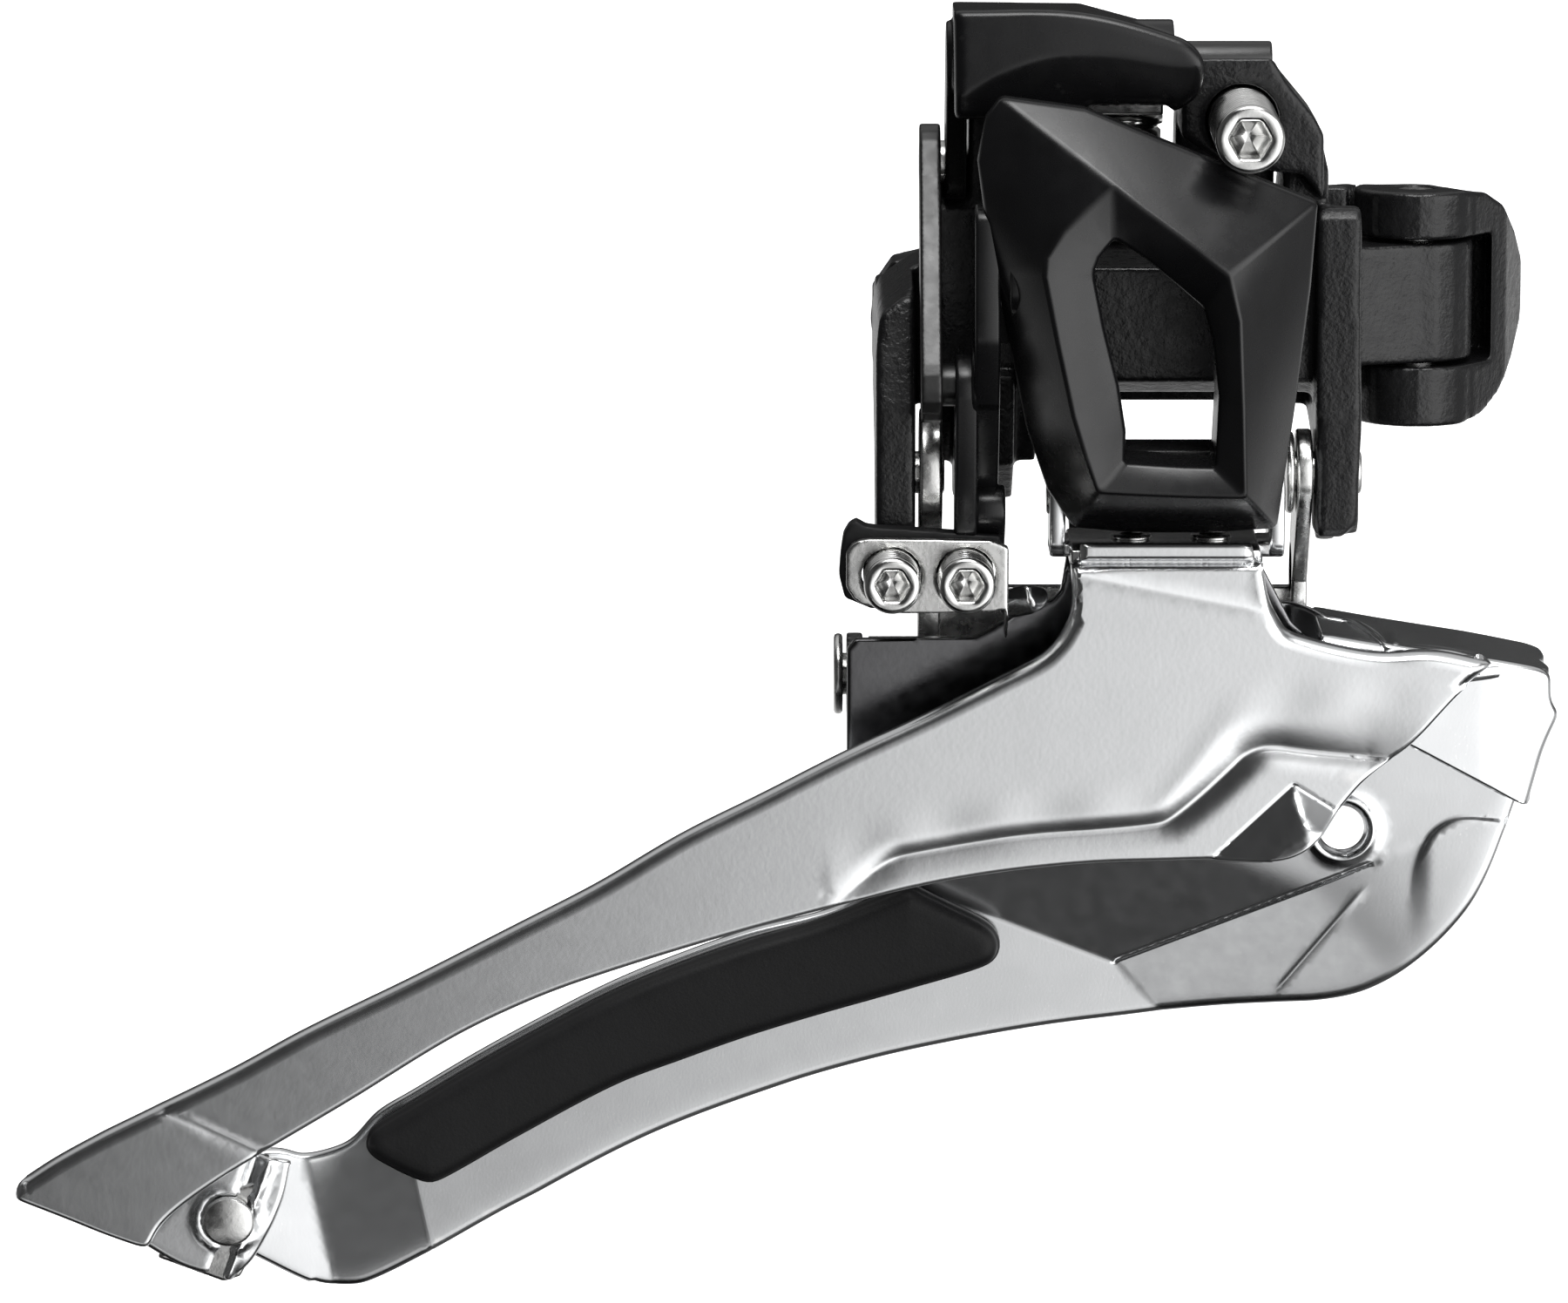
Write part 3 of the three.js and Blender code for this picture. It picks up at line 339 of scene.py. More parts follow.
def new_object(name, verts, faces, mat, body, slot, replaces=(), smooth=True):
    verts = [fit(v) for v in verts]
    me = bpy.data.meshes.new(name)
    me.from_pydata([tuple(float(c) * MM for c in v) for v in verts], [], faces)
    me.validate()
    me.update()
    if smooth:
        me.polygons.foreach_set("use_smooth", [True] * len(me.polygons))
    me.materials.append(mat)
    o = bpy.data.objects.new(name, me)
    bpy.context.scene.collection.objects.link(o)
    if body:
        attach(o, body)
    if replaces:
        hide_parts(*replaces)
    return o


def sm(t):
    t = np.clip(t, 0.0, 1.0)
    return t * t * (3 - 2 * t)


def resample(points, step, corners=38.0, soften=2, closed=True):
    """Catmull-Rom through the points at the given spacing, keeping corners sharper than the angle and then easing them."""
    P = np.array(points, float)
    n = len(P)
    out = []
    turn = np.zeros(n)
    for i in range(n):
        a, b = P[i] - P[i - 1], P[(i + 1) % n] - P[i]
        turn[i] = abs(math.degrees(math.atan2(a[0] * b[1] - a[1] * b[0], a @ b)))
    for i in range(n if closed else n - 1):
        j = (i + 1) % n
        p0, p1, p2, p3 = P[i - 1], P[i], P[j], P[(i + 2) % n]
        if turn[i] > corners or (not closed and i == 0):
            p0 = p1 - (p2 - p1)
        if turn[j] > corners or (not closed and j == n - 1):
            p3 = p2 + (p2 - p1)
        d = np.linalg.norm(p2 - p1)
        if d < 1e-9:
            continue
        m1 = (p2 - p0) * d / (np.linalg.norm(p1 - p0) + d + 1e-9)
        m2 = (p3 - p1) * d / (np.linalg.norm(p3 - p2) + d + 1e-9)
        k = max(1, int(math.ceil(d / step)))
        for s in range(k):
            t = s / k
            h00, h10 = 2 * t**3 - 3 * t**2 + 1, t**3 - 2 * t**2 + t
            h01, h11 = -2 * t**3 + 3 * t**2, t**3 - t**2
            out.append(h00 * p1 + h10 * m1 + h01 * p2 + h11 * m2)
    if not closed:
        out.append(P[-1])
    Q = np.array(out)
    for _ in range(soften):
        if closed:
            Q = (np.roll(Q, 1, 0) + 2 * Q + np.roll(Q, -1, 0)) / 4
        else:
            Q[1:-1] = (Q[:-2] + 2 * Q[1:-1] + Q[2:]) / 4
    return Q


def seg_dist(points, line, closed=True):
    """Distance to a polyline, and the side: positive on the left of its direction."""
    A = np.array(line, float)
    B = np.roll(A, -1, 0) if closed else A[1:]
    if not closed:
        A = A[:-1]
    best = np.full(len(points), 1e9)
    side = np.zeros(len(points))
    along = np.zeros(len(points))
    run = 0.0
    for a, b in zip(A, B):
        ab = b - a
        L = math.hypot(*ab)
        if L < 1e-9:
            continue
        ap = points - a
        t = np.clip((ap @ ab) / (L * L), 0, 1)
        q = ap - t[:, None] * ab
        d = np.hypot(q[:, 0], q[:, 1])
        c = ab[0] * ap[:, 1] - ab[1] * ap[:, 0]
        hit = d < best - 1e-9
        best = np.where(hit, d, best)
        side = np.where(hit, np.sign(c), side)
        along = np.where(hit, run + t * L, along)
        run += L
    return best, side, along


def inside(points, poly):
    x, y = points[:, 0], points[:, 1]
    res = np.zeros(len(points), bool)
    P = np.array(poly)
    for a, b in zip(P, np.roll(P, -1, 0)):
        c = (a[1] > y) != (b[1] > y)
        with np.errstate(divide="ignore", invalid="ignore"):
            xi = a[0] + (y - a[1]) * (b[0] - a[0]) / (b[1] - a[1])
        res ^= c & (x < xi)
    return res


def mesh_plane(outline, grid=0.55, holes=(), lines=(), rings=(0.1, 0.24, 0.45, 0.75, 1.15, 1.7)):
    """Triangles filling an outline in XZ, finer near its edge and along the given lines."""
    loops = [np.array(outline)] + [np.array(h) for h in holes]
    area2 = lambda L: float(np.sum(L[:, 0] * np.roll(L[:, 1], -1) - L[:, 1] * np.roll(L[:, 0], -1)))
    loops = [L if (area2(L) > 0) == (k == 0) else L[::-1] for k, L in enumerate(loops)]

    def normals(L):
        T = np.roll(L, -1, 0) - np.roll(L, 1, 0)
        T /= np.linalg.norm(T, axis=1)[:, None] + 1e-12
        return np.stack([-T[:, 1], T[:, 0]], 1)

    def edge_distance(p):
        d = np.full(len(p), 1e9)
        for L in loops:
            d = np.minimum(d, seg_dist(p, L)[0])
        return d

    def is_in(p):
        r = inside(p, loops[0])
        for L in loops[1:]:
            r &= ~inside(p, L)
        return r

    pts, edges = [], []
    for L in loops:
        k = len(pts)
        pts += [tuple(p) for p in L]
        edges += [(k + i, k + (i + 1) % len(L)) for i in range(len(L))]
    extra = []
    for ln in lines:
        q = np.array(ln)
        ok = is_in(q) & (edge_distance(q) > 0.2)
        k = len(pts)
        ids = {}
        for i, p in enumerate(q):
            if ok[i]:
                ids[i] = len(pts)
                pts.append(tuple(p))
        edges += [(ids[i], ids[i + 1]) for i in ids if i + 1 in ids]
        T = np.gradient(q, axis=0)
        T /= np.linalg.norm(T, axis=1)[:, None] + 1e-12
        Nn = np.stack([-T[:, 1], T[:, 0]], 1)
        for off in (-0.3, -0.12, 0.12, 0.3):
            w = q + Nn * off
            w = w[is_in(w)]
            extra.append(w[edge_distance(w) > 0.3])
    for L in loops:
        Nn = normals(L)
        for r in rings:
            q = L + Nn * r
            q = q[is_in(q)]
            q = q[edge_distance(q) > r * 0.92]
            extra.append(q)
    lo, hi = loops[0].min(0), loops[0].max(0)
    gx = np.arange(lo[0], hi[0], grid)
    gz = np.arange(lo[1], hi[1], grid * 0.866)
    G = np.array([(x + (grid / 2 if j % 2 else 0), z) for j, z in enumerate(gz) for x in gx])
    G = G[is_in(G)]
    G = G[edge_distance(G) > rings[-1] + grid * 0.5]
    for ln in lines:
        G = G[seg_dist(G, ln, False)[0] > 0.3 + grid * 0.3]
    extra.append(G)
    E = np.concatenate(extra)
    cell, keep, tol = set(), [], 0.09
    for p in E:
        k = (round(p[0] / tol), round(p[1] / tol))
        if k not in cell:
            cell.add(k)
            keep.append(p)
    vo, _, fo, _, _, _ = mgeo.delaunay_2d_cdt([Vector(p) for p in pts] + [Vector(p) for p in keep], edges, [], 0, 1e-6)
    V = np.array([tuple(v) for v in vo])
    F = np.array([f for f in fo if len(f) == 3])
    F = F[is_in(V[F].mean(1))]
    used = np.unique(F)
    remap = -np.ones(len(V), int)
    remap[used] = np.arange(len(used))
    V, F = V[used], remap[F]
    a, b, c = V[F[:, 0]], V[F[:, 1]], V[F[:, 2]]
    cr = (b[:, 0] - a[:, 0]) * (c[:, 1] - a[:, 1]) - (b[:, 1] - a[:, 1]) * (c[:, 0] - a[:, 0])
    F[cr < 0] = F[cr < 0][:, ::-1]
    D = edge_distance(V)
    B = np.zeros((len(V), 2))
    for L in loops:
        Nn = normals(L)
        for i in np.where(D < 1e-4)[0]:
            q = np.hypot(*(L - V[i]).T)
            j = int(np.argmin(q))
            if q[j] < 1e-3:
                B[i] = Nn[j]
    use = set()
    for f in F:
        for i in range(3):
            use.add((int(f[i]), int(f[(i + 1) % 3])))
    border = [e for e in use if (e[1], e[0]) not in use]
    return V, F, D, B, border, edge_distance


def skin(plane, front, back, rim, bulge):
    """Closed body from the plane's front and back points, joined by a rounded rim."""
    V, F, D, B, border, _ = plane
    n = len(V)
    verts = [tuple(v) for v in front] + [tuple(v) for v in back]
    faces = [tuple(int(i) for i in f) for f in F] + [tuple(int(i) + n for i in f[::-1]) for f in F]
    M = (front + back) / 2
    N = front - back
    half = np.linalg.norm(N, axis=1) / 2
    N /= np.linalg.norm(N, axis=1)[:, None] + 1e-12
    tan = {}
    for a_, b_ in border:
        t = M[b_] - M[a_]
        t = t / (np.linalg.norm(t) + 1e-12)
        for v in (a_, b_):
            tan[v] = tan.get(v, 0) + t
    ring = {}
    for v, t in tan.items():
        t = t / (np.linalg.norm(t) + 1e-12)
        o_ = np.cross(t, N[v])
        o_ /= np.linalg.norm(o_) + 1e-12
        ids = []
        for s in range(1, rim):
            th = math.pi * s / rim
            c_, s_ = math.cos(th), math.sin(th)
            ids.append(len(verts))
            verts.append(tuple(M[v] + N[v] * half[v] * math.copysign(abs(c_) ** 0.8, c_) + o_ * bulge * s_ ** 0.8))
        ring[v] = [v] + ids + [v + n]
    for a_, b_ in border:
        ra, rb = ring[a_], ring[b_]
        for s in range(len(ra) - 1):
            faces.append((rb[s], ra[s], ra[s + 1], rb[s + 1]))
    return verts, faces


def sheet(plane, mid, t, rim=5):
    """Plate of one thickness along the curved surface y = mid(x, z, d)."""
    V, F, D, B, border, edge_distance = plane
    h = 0.02

    def at(p):
        return mid(p[:, 0], p[:, 1], edge_distance(p))

    Y = mid(V[:, 0], V[:, 1], D)
    dx = (at(V + [h, 0]) - at(V - [h, 0])) / (2 * h)
    dz = (at(V + [0, h]) - at(V - [0, h])) / (2 * h)
    k = np.where(D < 1e-4)[0]
    b = B[k]
    inner = V[k] + b * 0.05
    g = (at(inner) - Y[k]) / 0.05
    tang = np.stack([-b[:, 1], b[:, 0]], 1)
    gt = (at(inner + tang * h) - at(inner - tang * h)) / (2 * h)
    dx[k] = g * b[:, 0] + gt * tang[:, 0]
    dz[k] = g * b[:, 1] + gt * tang[:, 1]
    N = np.stack([dx, -np.ones(len(V)), dz], 1)
    N /= np.linalg.norm(N, axis=1)[:, None]
    M = np.stack([V[:, 0] - N[:, 0] * t / 2, Y, V[:, 1] - N[:, 2] * t / 2], 1)
    return skin(plane, M + N * t / 2, M - N * t / 2, rim, t * 0.28)


def join(*parts):
    V, F = [], []
    for v, f in parts:
        k = len(V)
        V += list(v)
        F += [tuple(int(i) + k for i in q) for q in f]
    return V, F


def roll(d, r):
    """Sideways offset of a bent edge of radius r at distance d from the edge."""
    u = np.clip(r - d, 0, r)
    return r - np.sqrt(np.maximum(r * r - u * u, 0))


def left_of(x, z, a, b):
    """Distance on the left side of the line from a to b, negative on its right."""
    dx, dz = b[0] - a[0], b[1] - a[1]
    L = math.hypot(dx, dz)
    return (dx * (z - a[1]) - dz * (x - a[0])) / L


def along_line(a, b, step=0.25):
    n = max(2, int(math.hypot(b[0] - a[0], b[1] - a[1]) / step))
    return [(a[0] + (b[0] - a[0]) * i / n, a[1] + (b[1] - a[1]) * i / n) for i in range(n + 1)]


def circle(cx, cz, r, n=40):
    return [(cx + r * math.cos(2 * math.pi * i / n), cz + r * math.sin(2 * math.pi * i / n)) for i in range(n)]


# ---------------------------------------------------------------- outer cage plate
OUTER = [(-86.9, -59.9), (-86.6, -58.8), (-83.9, -57.1), (-80.7, -55.4), (-75.9, -53.0), (-70.8, -50.4), (-65.8, -47.6), (-58.0, -43.7), (-50.9, -40.0), (-45.2, -37.0), (-39.2, -33.4), (-33.5, -30.5), (-27.7, -27.5), (-22.0, -24.8), (-16.9, -22.2), (-13.9, -20.6), (-12.7, -19.3), (-12.0, -17.9), (-11.8, -16.7), (-12.0, -13.9), (1.4, -13.9), (1.9, -16.6), (3.1, -18.9), (6.1, -19.8), (9.6, -20.4), (13.3, -20.3), (17.8, -21.2), (15.4, -23.2), (11.9, -27.0), (8.8, -29.4), (5.6, -33.2), (4.1, -34.4), (2.5, -34.9), (-4.8, -35.2), (-10.5, -35.4), (-16.4, -36.0), (-21.7, -36.9), (-28.3, -38.5), (-36.6, -40.8), (-46.2, -43.9), (-50.9, -45.8), (-55.6, -48.2), (-62.7, -52.7), (-69.4, -56.8), (-72.5, -58.8), (-74.8, -60.5), (-76.2, -61.9), (-76.9, -63.4), (-77.5, -63.4), (-82.5, -61.5)]
STEP = [(-28.17, -38.17), (-26.09, -36.3), (-24.57, -35.24), (-23.53, -34.87), (-16.88, -33.69), (-13.64, -33.31), (-9.98, -33.06), (-5.84, -32.63), (-4.92, -32.32), (-2.74, -30.58), (-0.44, -28.41), (0.34, -27.66), (1.86, -27.1), (4.97, -27.41), (9.67, -27.85), (13.5, -28.2)]
STEP = [tuple(p) for p in resample(STEP, 0.3, 60, 3, closed=False)]
CREASE_O = ((-1.59, -34.65), (3.75, -29.66))
QUAD_TOP = ((3.75, -29.66), (6.76, -31.53))
TAIL = [(-75.85, -53.5), (-74.39, -54.19), (-70.78, -55.39), (-69.3, -56.4)]
TOP_OUT = -46.6


TOWER_CREASE = ((-11.7, -14.75), (1.3, -17.3))


def outer_mid(x, z, d):
    p = np.stack([x, z], 1)
    y = np.full(len(x), TOP_OUT)
    # the arm bows a little towards its tail, and the tip beyond the crease turns in
    y = y + 0.00045 * np.clip(-25 - x, 0, None) ** 2
    t = left_of(x, z, (-75.85, -53.3), (-69.3, -56.4))
    wave = 0.25 * np.sin((x + z) * 1.9)
    y = y - 0.03 * np.clip(-t + wave * np.exp(-np.abs(t)), 0, None) + 0.07 * np.exp(-((t - 0.1) / 0.35) ** 2)
    # step across the front: the strip under it is set back
    ds, side, _ = seg_dist(p, STEP, False)
    s = ds * np.where(side > 0, 1, -1)
    w = np.interp(x, [-30, -5, 2, 8], [1.5, 1.6, 3.2, 4.2])
    A = np.interp(x, [-29, -24, -6, 3, 9, 13], [0.0, 0.30, 0.36, 0.55, 0.5, 0.1])
    u = np.clip(s / w, 0, 1)
    up_ = np.clip(-s / 1.7, 0, 1)
    y = y + A * np.where(s > 0, (1 - u) ** 2, (1 - up_) ** 2)
    # pocket in the lower front corner, folded back out along a slanting crease
    dc = -left_of(x, z, *CREASE_O)
    dq = -left_of(x, z, *QUAD_TOP)
    y = y - 0.72 * np.clip(np.minimum(dc, dq * 1.3), 0, 5) + 0.50 * np.clip(np.minimum(dc, dq * 1.3) - 2.4, 0, 5)
    # rolled upper edge of the arm and bent edges of the tower and the front
    top = np.interp(x, [-87, -76, -58, -39, -22, -14, -12, 1.4, 3, 18], [-59, -53, -43.7, -33.3, -24.8, -20.8, -19, -16.6, -18.9, -21.2])
    bot = np.interp(x, [-87, -77, -70, -56, -46, -28, -16, 2.5, 5.6, 12, 18], [-60, -63.4, -57.3, -48.3, -43.9, -38.5, -36, -34.9, -33.2, -27, -21.3])
    up = sm((z - (top + bot) / 2) / 1.0 + 0.5)
    arm = up * np.where(x < -11.6, 1, 0)
    y = y + roll(d, 0.75) * arm * np.where(x > -86, 1, 0.4)
    y = y + 0.5 * roll(d, 0.3) * (1 - up)
    zt = -13.9
    tower = (x > -12.6) & (x < 1.9) & (z > -17.2)
    y = y + roll(zt - z, 0.9) * tower * np.where(zt - z >= 0, 1, 0)
    right = (x > 1.6) & (z > top - 2.0)
    y = y + np.where(right, roll(d, 0.8), 0) * sm((x - 1.6) / 1.2)
    side_ = tower | ((x > -12.8) & (x < 2.2) & (z > -20.5))
    y = y + np.where(side_ & (d < 0.5), 0.5 * roll(d, 0.5), 0) * np.where(zt - z > 0.8, 1, 0)
    # slanting crease across the tower
    c = left_of(x, z, *TOWER_CREASE)
    fade = sm((x + 12.5) / 1.0) * sm((2.5 - x) / 2.0)
    y = y + (0.09 * sm(c / 0.9) - 0.05 * np.exp(-((c + 0.15) / 0.3) ** 2)) * fade * np.where(z > -20, 1, 0)
    # shallow forming marks beside the bends
    y = y + 0.018 * np.sin(x * 0.9 + 1.3 * np.sin(z * 0.35)) * np.exp(-((s - w) / 1.6) ** 2) * (A > 0)
    return y


outer_loop = resample(OUTER, 0.42, 40, 2)
outer_plane = mesh_plane(outer_loop, 0.45, lines=[STEP,
                         along_line(*CREASE_O), along_line(*QUAD_TOP), resample(TAIL, 0.3, 60, 0, closed=False),
                         along_line(*TOWER_CREASE), along_line((-11.5, -14.35), (0.9, -14.35), 0.3)])


def rounded_box(x0, x1, y0, y1, z0, z1, r, seg=3):
    bm = bmesh.new()
    bmesh.ops.create_cube(bm, size=1.0)
    for v in bm.verts:
        v.co = Vector(((x0 + x1) / 2 + v.co.x * (x1 - x0), (y0 + y1) / 2 + v.co.y * (y1 - y0), (z0 + z1) / 2 + v.co.z * (z1 - z0)))
    bmesh.ops.bevel(bm, geom=bm.edges[:], offset=r, segments=seg, profile=0.5, affect="EDGES")
    V = [tuple(v.co) for v in bm.verts]
    bm.verts.index_update()
    F = [tuple(v.index for v in f.verts) for f in bm.faces]
    bm.free()
    return V, F


def prism_x(yz, x0, x1, r=0.0, seg=3):
    return prism([(x0, y, z) for y, z in yz], (x1 - x0, 0, 0), r, seg)


def prism(loop, vec, r=0.0, seg=3, angle=25):
    """Closed prism from a planar loop pushed along a vector, its sharp edges rounded."""
    bm = bmesh.new()
    vs = [bm.verts.new(p) for p in loop]
    f = bm.faces.new(vs)
    ret = bmesh.ops.extrude_face_region(bm, geom=[f])
    bmesh.ops.translate(bm, vec=Vector(vec), verts=[g for g in ret["geom"] if isinstance(g, bmesh.types.BMVert)])
    bmesh.ops.recalc_face_normals(bm, faces=bm.faces[:])
    if r > 0:
        bm.normal_update()
        es = [e for e in bm.edges if len(e.link_faces) == 2 and e.calc_face_angle() > math.radians(angle)]
        bmesh.ops.bevel(bm, geom=es, offset=r, segments=seg, profile=0.5, affect="EDGES", clamp_overlap=True)
    bm.verts.index_update()
    V = [tuple(v.co) for v in bm.verts]
    F = [tuple(v.index for v in g.verts) for g in bm.faces]
    bm.free()
    return V, F


def hull2(discs, n=40):
    pts = []
    for a, b, r in discs:
        for i in range(n):
            t = 2 * math.pi * i / n
            pts.append((a + r * math.cos(t), b + r * math.sin(t)))
    pts.sort()
    cross = lambda o, p, q: (p[0] - o[0]) * (q[1] - o[1]) - (p[1] - o[1]) * (q[0] - o[0])

    def half(list_):
        h = []
        for p in list_:
            while len(h) > 1 and cross(h[-2], h[-1], p) <= 1e-9:
                h.pop()
            h.append(p)
        return h[:-1]
    return half(pts) + half(pts[::-1])


P1, P3, P2, P4 = (-46.0, 5.4), (-40.0, -10.16), (-36.0, -9.32), (-30.0, -24.88)
P5, P6, P7 = (-36.0, 19.9), (-32.5, 12.4), (-42.5, -2.1)

ear = hull2([(P3[0], P3[1], 2.55), (P3[0] - 1.5, -13.2, 1.25), (P3[0] + 2.0, -13.2, 1.25)])
outer_parts = join(
    sheet(outer_plane, outer_mid, 1.2),
    rounded_box(-12.0, 1.4, -45.7, -36.0, -14.5, -13.3, 0.25),
    rounded_box(-13.3, -11.6, -42.0, -37.5, -14.45, -13.35, 0.3),
    rounded_box(1.2, 3.2, -42.0, -37.5, -14.45, -13.35, 0.3),
    prism_x(ear, -13.3, -12.2, 0.22), prism_x(ear, 2.1, 3.2, 0.22))
new_object("outer_cage_plate_skin", *outer_parts, M_CHROME, "cage", "satin_chrome", ["outer_cage_plate"])


# ---------------------------------------------------------------- inner cage plate
INNER = [(-77.2, -65.8), (-74.5, -63.8), (-72.4, -60.9), (-69.8, -59.2), (-67.9, -59.2), (-66.8, -59.6), (-64.9, -59.2), (-63.2, -58.4), (-61.2, -56.2), (-58.5, -54.5), (-53.7, -51.6), (-48.8, -48.9), (-44.1, -46.5), (-39.3, -44.5), (-34.5, -42.8), (-28.2, -41.1), (-25.7, -39.5), (-23.2, -36.0), (-20.1, -32.5), (-17.0, -30.3), (-13.3, -27.7), (-9.6, -24.3), (-6.5, -19.9), (2.6, -18.9), (4.7, -19.0), (10.6, -20.1), (16.3, -21.0), (21.3, -21.9), (22.2, -22.4), (22.3, -24.4), (22.9, -25.2), (21.8, -27.5), (21.0, -30.0), (20.2, -32.7), (19.3, -35.1), (18.3, -37.6), (17.0, -40.2), (15.2, -42.5), (13.1, -44.5), (11.0, -46.0), (8.9, -47.0), (6.2, -47.6), (3.7, -47.8), (-0.8, -48.2), (-7.0, -49.0), (-13.2, -49.8), (-19.4, -50.9), (-25.7, -52.3), (-32.1, -54.2), (-41.7, -57.9), (-51.4, -63.1), (-57.1, -66.6), (-62.1, -69.5), (-64.0, -69.8), (-65.9, -69.5), (-69.9, -67.3), (-70.7, -66.8), (-71.4, -67.3)]
K1 = ((-22.92, -39.48), (-8.17, -45.22))
K2 = [(-8.26, -44.9), (9.63, -37.22)]
DIAG = ((10.14, -38.0), (3.27, -46.8))
CRES = [tuple(p) for p in resample([(12.5, -39.4), (12.9, -37.2), (13.99, -35.06), (15.2, -34.1), (16.45, -33.8), (19.4, -34.0)], 0.3, 60, 2, closed=False)]


SHELF = [(11.0, -27.3), (12.22, -27.89), (14.0, -28.85), (16.5, -30.2), (19.34, -31.71), (21.5, -32.6)]


def inner_mid(x, z, d):
    p = np.stack([x, z], 1)
    f = left_of(x, z, *K1)
    hf = 0.2735 * np.clip(f, 0, None)
    # along the ridge the two faces meet; below it the rail swings out gently
    k = left_of(x, z, (-8.26, -44.9), (9.63, -37.22))
    sk = (x + 8.26) * 0.919 + (z + 44.9) * 0.394
    hr = 0.19 * sk + 0.06 * k
    hr = np.where(sk > 0, hr, 0)
    h1 = np.where((k > 0) | (sk < 0), hf, np.clip(hr, 0, None))
    h1 = np.where(h1 > 2.7, 3.5 - 0.8 * np.exp(-(h1 - 2.7) / 0.8), h1)
    # the wall under the bridge stands out as far as the outer plate
    ds, side, al = seg_dist(p, SHELF, False)
    s = ds * np.where(side > 0, 1, -1)
    hi = np.interp(x, [8, 12, 17, 20, 23], [10.9, 10.87, 10.7, 10.5, 10.0])
    reach = sm((x - 7.6) / 2.4)
    h = np.where(z > -33, h1 * sm((x - 3.5) / 3.0), h1)
    h = h + (hi - h) * sm((s + 0.45) / 0.9) * reach
    # crescent on the front edge
    dc, sc, _ = seg_dist(p, CRES, False)
    c = dc * np.where(sc > 0, 1, -1)
    h = h + 0.17 * (sm((-c + 0.3) / 0.6)) * sm((x - 12.4) / 1.6) * sm((z + 44) / 7) * (1 - sm((s + 1.2) / 1.2))
    # diagonal crease
    g = left_of(x, z, *DIAG)
    h = h + 0.05 * np.exp(-(g / 0.22) ** 2) * sm((z + 47.5) / 1.5) * sm((-38.6 - z) / 1.5)
    # raised rim round the small hole
    r = np.hypot(x - 7.7, z + 34.7)
    h = h + 0.30 * np.exp(-((r - 2.2) / 0.5) ** 2)
    y = -34.0 - h
    # the rear end of the rail turns inboard beyond a faint crease
    e = left_of(x, z, (-59.2, -57.5), (-57.2, -67.5))
    y = y + 0.0 * e
    y = y + 0.17 * np.clip(-e, 0, 7.5) - 0.10 * np.clip(-e - 7.5, 0, 8)
    # lower edge rolled inboard, upper edge turned a little
    lowm = sm(((np.interp(x, [-78, -62, -51, -32, -7, 9, 15, 18.3, 22.9], [-66, -64, -57.5, -49, -42, -40, -38, -33, -25]) - z)) / 1.5 + 0.5)
    y = y + (0.4 * roll(d, 0.45) + 0.05 * roll(d, 1.6)) * lowm * np.where(x > -66, 1, 0.3)
    y = y + 0.5 * roll(d, 0.35) * (1 - lowm)
    return y


def beside(line, off):
    """The polyline moved sideways by off, its first and last points left out."""
    P = np.array(line)
    T = P[2:] - P[:-2]
    T /= np.linalg.norm(T, axis=1)[:, None]
    return [tuple(p) for p in P[1:-1] + np.stack([-T[:, 1], T[:, 0]], 1) * off]


inner_loop = resample(INNER, 0.42, 40, 2)
SHELF_LINE = [tuple(p) for p in resample(SHELF, 0.25, 60, 2, closed=False)]
inner_plane = mesh_plane(inner_loop, 0.45, holes=[circle(7.7, -34.7, 1.6), circle(-71.4, -61.9, 1.15, 24)],
                         lines=[along_line(*K1), along_line(*K2), along_line(*DIAG),
                                SHELF_LINE, beside(SHELF_LINE, 0.5), beside(SHELF_LINE, -0.5), CRES,
                                along_line((-59.2, -57.5), (-57.2, -67.5)), circle(7.7, -34.7, 2.2, 50)])
roof_xz = [(5.75, -19.3), (10.6, -20.15), (16.3, -21.05), (22.1, -22.1), (22.1, -23.15), (16.1, -22.1), (10.4, -21.2), (5.75, -20.35)]
roof_top = lambda x: np.interp(x, [5.75, 10.6, 16.3, 22.2], [-19.3, -20.15, -21.05, -22.15])


def roof_part():
    """Sheet of the bridge roof over an XY outline, its outboard edge rolled down."""
    xy = [(5.75, -45.5), (12.0, -45.6), (16.6, -45.5), (18.6, -44.9), (20.6, -44.3), (21.9, -43.4), (22.1, -41.6), (21.6, -39.6), (22.1, -37.6), (22.1, -34.6), (21.2, -33.6), (5.75, -33.6)]
    loop = resample([(x, y) for x, y in xy], 0.4, 40, 2)
    pl = mesh_plane(loop, 0.5, rings=(0.1, 0.3, 0.6, 1.0))

    def mid(x, y, d):
        z = roof_top(x) - 0.55
        z = z - 0.8 * roll(np.clip(y + 45.55, 0, 9), 1.0)
        z = z + 0.22 * np.exp(-((x - 10.9) / 0.35) ** 2) * sm((-36 - y) / 6)
        z = z + 0.25 * np.exp(-((x - 14.5) / 2.2) ** 2 - ((y + 44.2) / 1.4) ** 2)
        return z
    V, F, D, B, border, ed = pl
    Z = mid(V[:, 0], V[:, 1], D)
    top = np.stack([V[:, 0], V[:, 1], Z + 0.5], 1)
    low = np.stack([V[:, 0], V[:, 1], Z - 0.5], 1)
    return skin(pl, top, low, 4, 0.2)


inner_parts = join(sheet(inner_plane, inner_mid, 1.2), roof_part(),
                   prism_x(hull2([(P4[0], P4[1], 2.9), (-33.9, -23.6, 1.0), (-33.9, -28.4, 1.0)]), 6.15, 7.3, 0.2))
new_object("inner_cage_plate_skin", *inner_parts, M_CHROME_IN, "cage", "satin_chrome", ["inner_cage_plate"])


